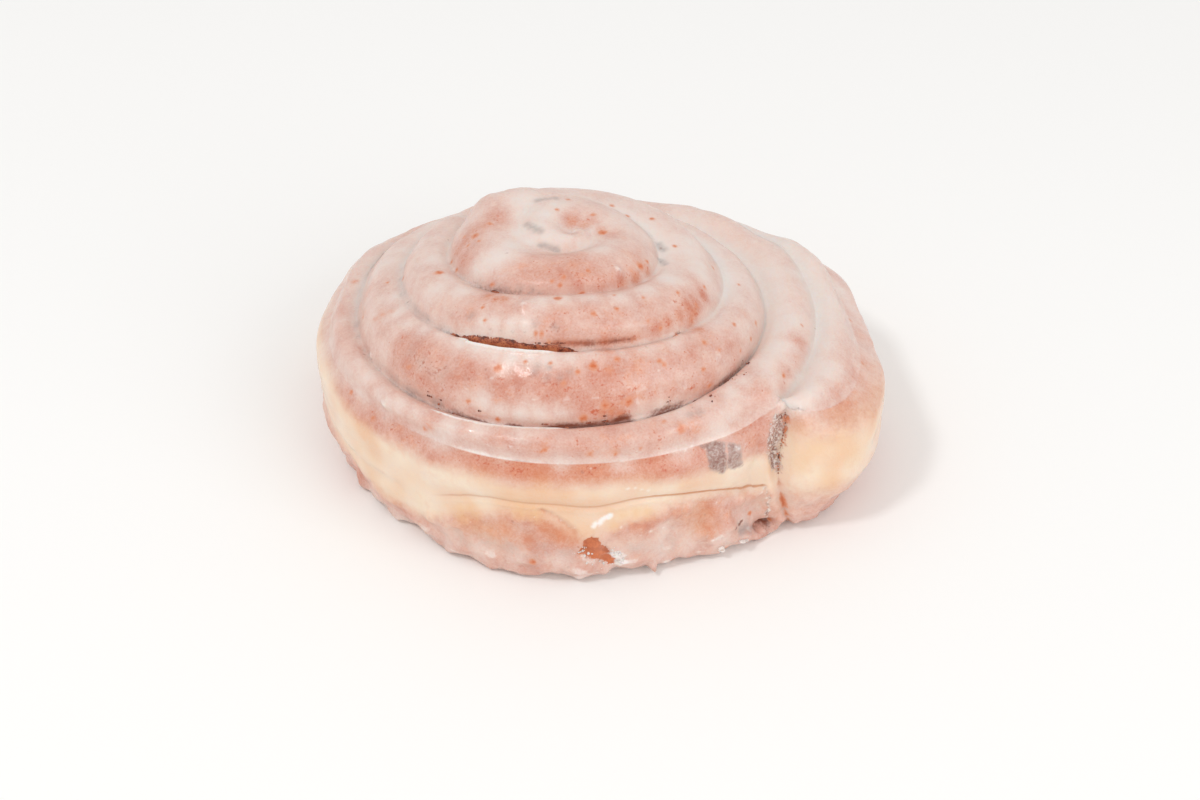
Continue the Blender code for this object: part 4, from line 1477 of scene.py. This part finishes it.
def ribbon_surface():
    """Points of the ribbon: at equal steps along the groove stands a thin upright shape with a round
    top. Its top is the groove's bottom plus the table's height and a noise, and its sides wander by a
    noise near the top."""
    fine = np.linspace(RIBBON_START, RIBBON_END, 4000)
    length = np.concatenate([[0.0], np.cumsum(np.radians(np.diff(fine)) * gap_radius(fine[1:]))])
    angle = np.interp(np.linspace(0.0, length[-1], RIBBON_COLUMNS), length, fine)[:, None]
    rows = np.array(RIBBON)
    above = smooth_curve(rows[:, 0], rows[:, 1], angle)
    half = smooth_curve(rows[:, 0], rows[:, 2], angle)
    bottom = gap_height(angle) - groove_look(1, angle)
    walk = np.interp(angle, fine, length)
    line = np.concatenate([walk, 0.0 * walk, 0.0 * walk], axis=1)
    top = bottom + above + 0.35 * cloud(line, 1.9, 21)[:, None] + 0.2 * cloud(line, 0.6, 22)[:, None]
    height = np.maximum(top - ROUND_DROP, RIBBON_BASE)
    at = angle + lean_near(NOTCH, angle, height / gap_height(angle))
    radius = gap_radius(at) - 0.12 * groove_look(4, angle) + half * ROUND_SIDE
    points = in_space(at, radius, height)
    flat = points.reshape(-1, 3)
    near_top = np.exp(-((top - height) / 2.0)).ravel()
    turn = np.radians(at).ravel()
    flat[:, :2] += (0.16 * near_top * cloud(flat, 0.7, 23))[:, None] * np.stack([np.sin(turn), np.cos(turn)], axis=1)
    return points, np.clip(top - height, 0.0, 3.0)


ribbon_points, below_top = ribbon_surface()
ribbon_number = np.arange(ribbon_points.shape[0] * ribbon_points.shape[1]).reshape(ribbon_points.shape[:2])
ribbon_number = np.concatenate([ribbon_number, ribbon_number[:, :1]], axis=1)
ribbon_ends = [ribbon_number[0, :-1][None, ::-1], ribbon_number[-1, :-1][None, :]]
print("ribbon:", ribbon_points.shape, "columns and points round it")

# %% Cinnamon sugar material and the ribbon
# Cinnamon sugar filling: ground cinnamon, butter and sugar, melted and a little burnt in the oil. It
# is dark red brown and gritty, and the melted sugar leaves small wet glints on the grains.
filling = bpy.data.materials.new("fried_cinnamon_sugar")
filling.use_nodes = True
tree = filling.node_tree
shader = tree.nodes["Principled BSDF"]
place = add(tree, "ShaderNodeTexCoord").outputs["Object"]
clumps = add(tree, "ShaderNodeTexNoise", {"Vector": place, "Scale": per_mm(1.4), "Detail": 3.0}).outputs["Fac"]
grit = add(tree, "ShaderNodeTexNoise", {"Vector": place, "Scale": per_mm(0.3), "Detail": 2.0}).outputs["Fac"]
below = add(tree, "ShaderNodeAttribute", attribute_name="below_top").outputs["Fac"]
mixed = add(tree, "ShaderNodeMix", {0: 0.4, 2: clumps, 3: grit}).outputs[0]
# the top edge is darkest: the filling burnt there, and the shade under the overhanging shoulder is
# painted in; the syrup below it stays redder
burn_and_shade_at_top = {"Value": below, "From Max": 1.5, "To Min": -0.1, "To Max": 0.06}
burn_and_shade_at_top = add(tree, "ShaderNodeMapRange", burn_and_shade_at_top).outputs[0]
tone = add(tree, "ShaderNodeMath", {0: mixed, 1: burn_and_shade_at_top}, operation="ADD").outputs[0]
burnt = add(tree, "ShaderNodeValToRGB", {"Fac": tone})
burnt.color_ramp.elements[0].position, burnt.color_ramp.elements[0].color = 0.34, srgb("#5a2a1e")
burnt.color_ramp.elements[1].position, burnt.color_ramp.elements[1].color = 0.59, srgb("#cc8258")
burnt.color_ramp.elements.new(0.45).color = srgb("#a9583a")
tree.links.new(burnt.outputs["Color"], shader.inputs["Base Color"])
grit_bump = add(tree, "ShaderNodeBump", {"Height": grit, "Strength": 0.6, "Distance": 0.0002}).outputs["Normal"]
tree.links.new(grit_bump, shader.inputs["Normal"])
shader.inputs["Roughness"].default_value = 0.45
shader.inputs["Coat Weight"].default_value = 0.3
shader.inputs["Coat Roughness"].default_value = 0.15
ribbon_faces = [quads(ribbon_number)] + ribbon_ends
ribbon_told = {"below_top": below_top.ravel()}
ribbon = new_piece("cinnamon_ribbon", ribbon_points.reshape(-1, 3), ribbon_faces, filling, ribbon_told)
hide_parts("cinnamon_filling")


# %% [markdown]
# ## Crumbs, grains and flakes
#
# Bits of filling fell on the crust, sugar grains stick in the notch, and glaze that dried thick broke
# into flakes at the torn patch and under the foot. They are a tenth of a millimetre to one across.
# Each is a dented ball sunk a third into the skin, because a loose ball would float or fall off.

# %% A ball and a way to strew it
LIFT = 0.3  # height of a crumb's centre over the skin, as a share of its radius


def ball():
    """Points and faces of a ball with 42 points: a twenty-sided solid with each edge's middle pushed
    out to the sphere."""
    g = (1.0 + math.sqrt(5.0)) / 2.0
    points = np.array([
        (-1, g, 0), (1, g, 0), (-1, -g, 0), (1, -g, 0), (0, -1, g), (0, 1, g), (0, -1, -g), (0, 1, -g),
        (g, 0, -1), (g, 0, 1), (-g, 0, -1), (-g, 0, 1),
    ])
    faces = np.array([
        (0, 11, 5), (0, 5, 1), (0, 1, 7), (0, 7, 10), (0, 10, 11), (1, 5, 9), (5, 11, 4), (11, 10, 2), (10, 7, 6),
        (7, 1, 8), (3, 9, 4), (3, 4, 2), (3, 2, 6), (3, 6, 8), (3, 8, 9), (4, 9, 5), (2, 4, 11), (6, 2, 10),
        (8, 6, 7), (9, 8, 1),
    ])
    pairs = np.sort(faces[:, [[0, 1], [1, 2], [2, 0]]].reshape(-1, 2), axis=1)
    edges, back = np.unique(pairs, axis=0, return_inverse=True)
    middle = (len(points) + back).reshape(-1, 3)
    points = np.concatenate([points, points[edges].mean(axis=1)])
    points /= np.linalg.norm(points, axis=1, keepdims=True)
    a, b, c = faces.T
    ab, bc, ca = middle.T
    quarters = ((a, ab, ca), (b, bc, ab), (c, ca, bc), (ab, bc, ca))
    return points, np.concatenate([np.stack(quarter, axis=1) for quarter in quarters])


def crumbs(name, centres, spread, sizes, count, material, seed, flat=1.0, lying=False):
    """Crumbs on the skin round some points in space: each is a ball, dented at random, sunk by a third
    into the skin at the nearest vertex to a random point within the spread. A flake is one pressed
    flat on the skin, or level where it lies."""
    random = np.random.default_rng(seed)
    seed_points = centres[random.integers(0, len(centres), count)] + random.normal(0.0, spread, (count, 3))
    nearest = np.array([np.argmin(((skin_points - q) ** 2).sum(axis=1)) for q in seed_points])
    size = random.uniform(sizes[0], sizes[1], (count, 1)) * random.uniform(0.6, 1.3, (count, 3))
    unit, faces = ball()
    dented = unit[None] * (1.0 + random.uniform(-0.22, 0.22, (count, len(unit), 1))) * size[:, None, :]
    outwards = skin_normals[nearest][:, None, :]
    across = np.array([[[0.0, 0.0, 1.0]]]) if lying else outwards
    dented -= (1.0 - flat) * (dented * across).sum(axis=2, keepdims=True) * across
    points = skin_points[nearest][:, None, :] + LIFT * size.mean(axis=1)[:, None, None] * outwards + dented
    points[:, :, 2] = np.maximum(points[:, :, 2], 0.0)
    faces = faces[None] + (len(unit) * np.arange(count))[:, None, None]
    made = new_piece(name, points.reshape(-1, 3), [faces.reshape(-1, 3)], material)


print("a ball has", len(ball()[0]), "points and", len(ball()[1]), "faces")

# %% Crumbs of cinnamon sugar
in_crack = (zone == TOP) & (along > 902.0) & (along < 932.0) & (to_outer > 1.2) & (to_outer < 2.4)
crumbs("crack_crumbs", skin_points[in_crack], 0.2, (0.08, 0.2), 60, filling, 31)
ON_CRUST = (
    (712, 398), (733, 380), (740, 374), (746, 365), (668, 404), (590, 422), (605, 420), (545, 422), (480, 413),
    (440, 402), (430, 396),
)
crumbs("crust_crumbs", skin_points[seen_at(ON_CRUST)], 0.4, (0.09, 0.24), 56, filling, 32)
crumbs("tail_crumbs", skin_points[seen_at(NOTCH_EDGE)], 0.4, (0.07, 0.17), 40, filling, 33)

# %% Grains of sugar and flakes of glaze
# Dried sugar glaze: where it ran together it dried thick and cracked into flakes. It is off-white and
# half clear, and its smooth skin shines a little.
white = bpy.data.materials.new("dried_sugar_glaze")
white.use_nodes = True
tree = white.node_tree
shader = tree.nodes["Principled BSDF"]
place = add(tree, "ShaderNodeTexCoord").outputs["Object"]
cracks = add(tree, "ShaderNodeTexNoise", {"Vector": place, "Scale": per_mm(0.5), "Detail": 2.0}).outputs["Fac"]
frosty = add(tree, "ShaderNodeMix", {0: cracks, 6: srgb("#e3cfc4"), 7: srgb("#fbf6f2")}, data_type="RGBA").outputs[2]
tree.links.new(frosty, shader.inputs["Base Color"])
shader.inputs["Roughness"].default_value = 0.35
shader.inputs["Coat Weight"].default_value = 0.5
shader.inputs["Coat Roughness"].default_value = 0.1
shader.inputs["Subsurface Weight"].default_value = 0.3
shader.inputs["Subsurface Radius"].default_value = (1.0, 0.8, 0.7)
shader.inputs["Subsurface Scale"].default_value = 0.0008
crumbs("notch_sugar", skin_points[notch_patch > 0.6], 0.1, (0.07, 0.15), 45, white, 34)
SCAR_EDGE = (
    (612, 554), (617, 556), (621, 553), (624, 557), (620, 562), (613, 567), (606, 565), (600, 561), (591, 560),
    (585, 556), (577, 554), (582, 551),
)
crumbs("scar_flakes", skin_points[seen_at(SCAR_EDGE)], 0.45, (0.1, 0.3), 60, white, 35, flat=0.4)
UNDER_FOOT = ((741, 540), (744, 539), (720, 547))
crumbs("foot_flakes", skin_points[seen_at(UNDER_FOOT)], 0.4, (0.4, 0.9), 7, white, 36, flat=0.15, lying=True)

# %% [markdown]
# ## Floor and light
#
# The photograph is lit evenly in a white tent, with one broad light in front on the left that leaves
# the small highlights. A bright plain floor throws light up on the lower wall.

# %% Floor, lights and world
FLOOR_HALF = 1.5  # metres
AIM_HEIGHT = 0.02  # metres, where the lamps look
floor_mesh = bpy.data.meshes.new("floor")
corners = [(x * FLOOR_HALF, y * FLOOR_HALF, 0.0) for x, y in ((-1, -1), (1, -1), (1, 1), (-1, 1))]
floor_mesh.from_pydata(corners, [], [(0, 1, 2, 3)])
# Background paper: pressed and uncoated, so it is matt and evenly pale, with no grain that shows.
paper = bpy.data.materials.new("white_paper")
paper.use_nodes = True
paper.node_tree.nodes["Principled BSDF"].inputs["Base Color"].default_value = srgb("#faf9f7")
paper.node_tree.nodes["Principled BSDF"].inputs["Roughness"].default_value = 0.9
floor_mesh.materials.append(paper)
floor = bpy.data.objects.new("floor", floor_mesh)
bpy.context.scene.collection.objects.link(floor)


def area_light(name, place, size, power):
    """A square lamp that looks at the roll."""
    lamp = bpy.data.lights.new(name, "AREA")
    lamp.shape, lamp.size, lamp.energy = "SQUARE", size, power
    made = bpy.data.objects.new(name, lamp)
    made.location = place
    made.rotation_euler = (Vector((0.0, 0.0, AIM_HEIGHT)) - Vector(place)).to_track_quat("-Z", "Y").to_euler()
    bpy.context.scene.collection.objects.link(made)


area_light("key", (-0.4, -0.3, 0.8), 0.14, 1.8)
area_light("fill", (0.55, -0.5, 0.45), 0.6, 1.6)
world = bpy.data.worlds.new("tent")
world.use_nodes = True
world.node_tree.nodes["Background"].inputs["Color"].default_value = srgb("#ffffff")
world.node_tree.nodes["Background"].inputs["Strength"].default_value = 0.76
bpy.context.scene.world = world
bpy.context.scene.view_settings.view_transform = "Standard"
print("lights set")
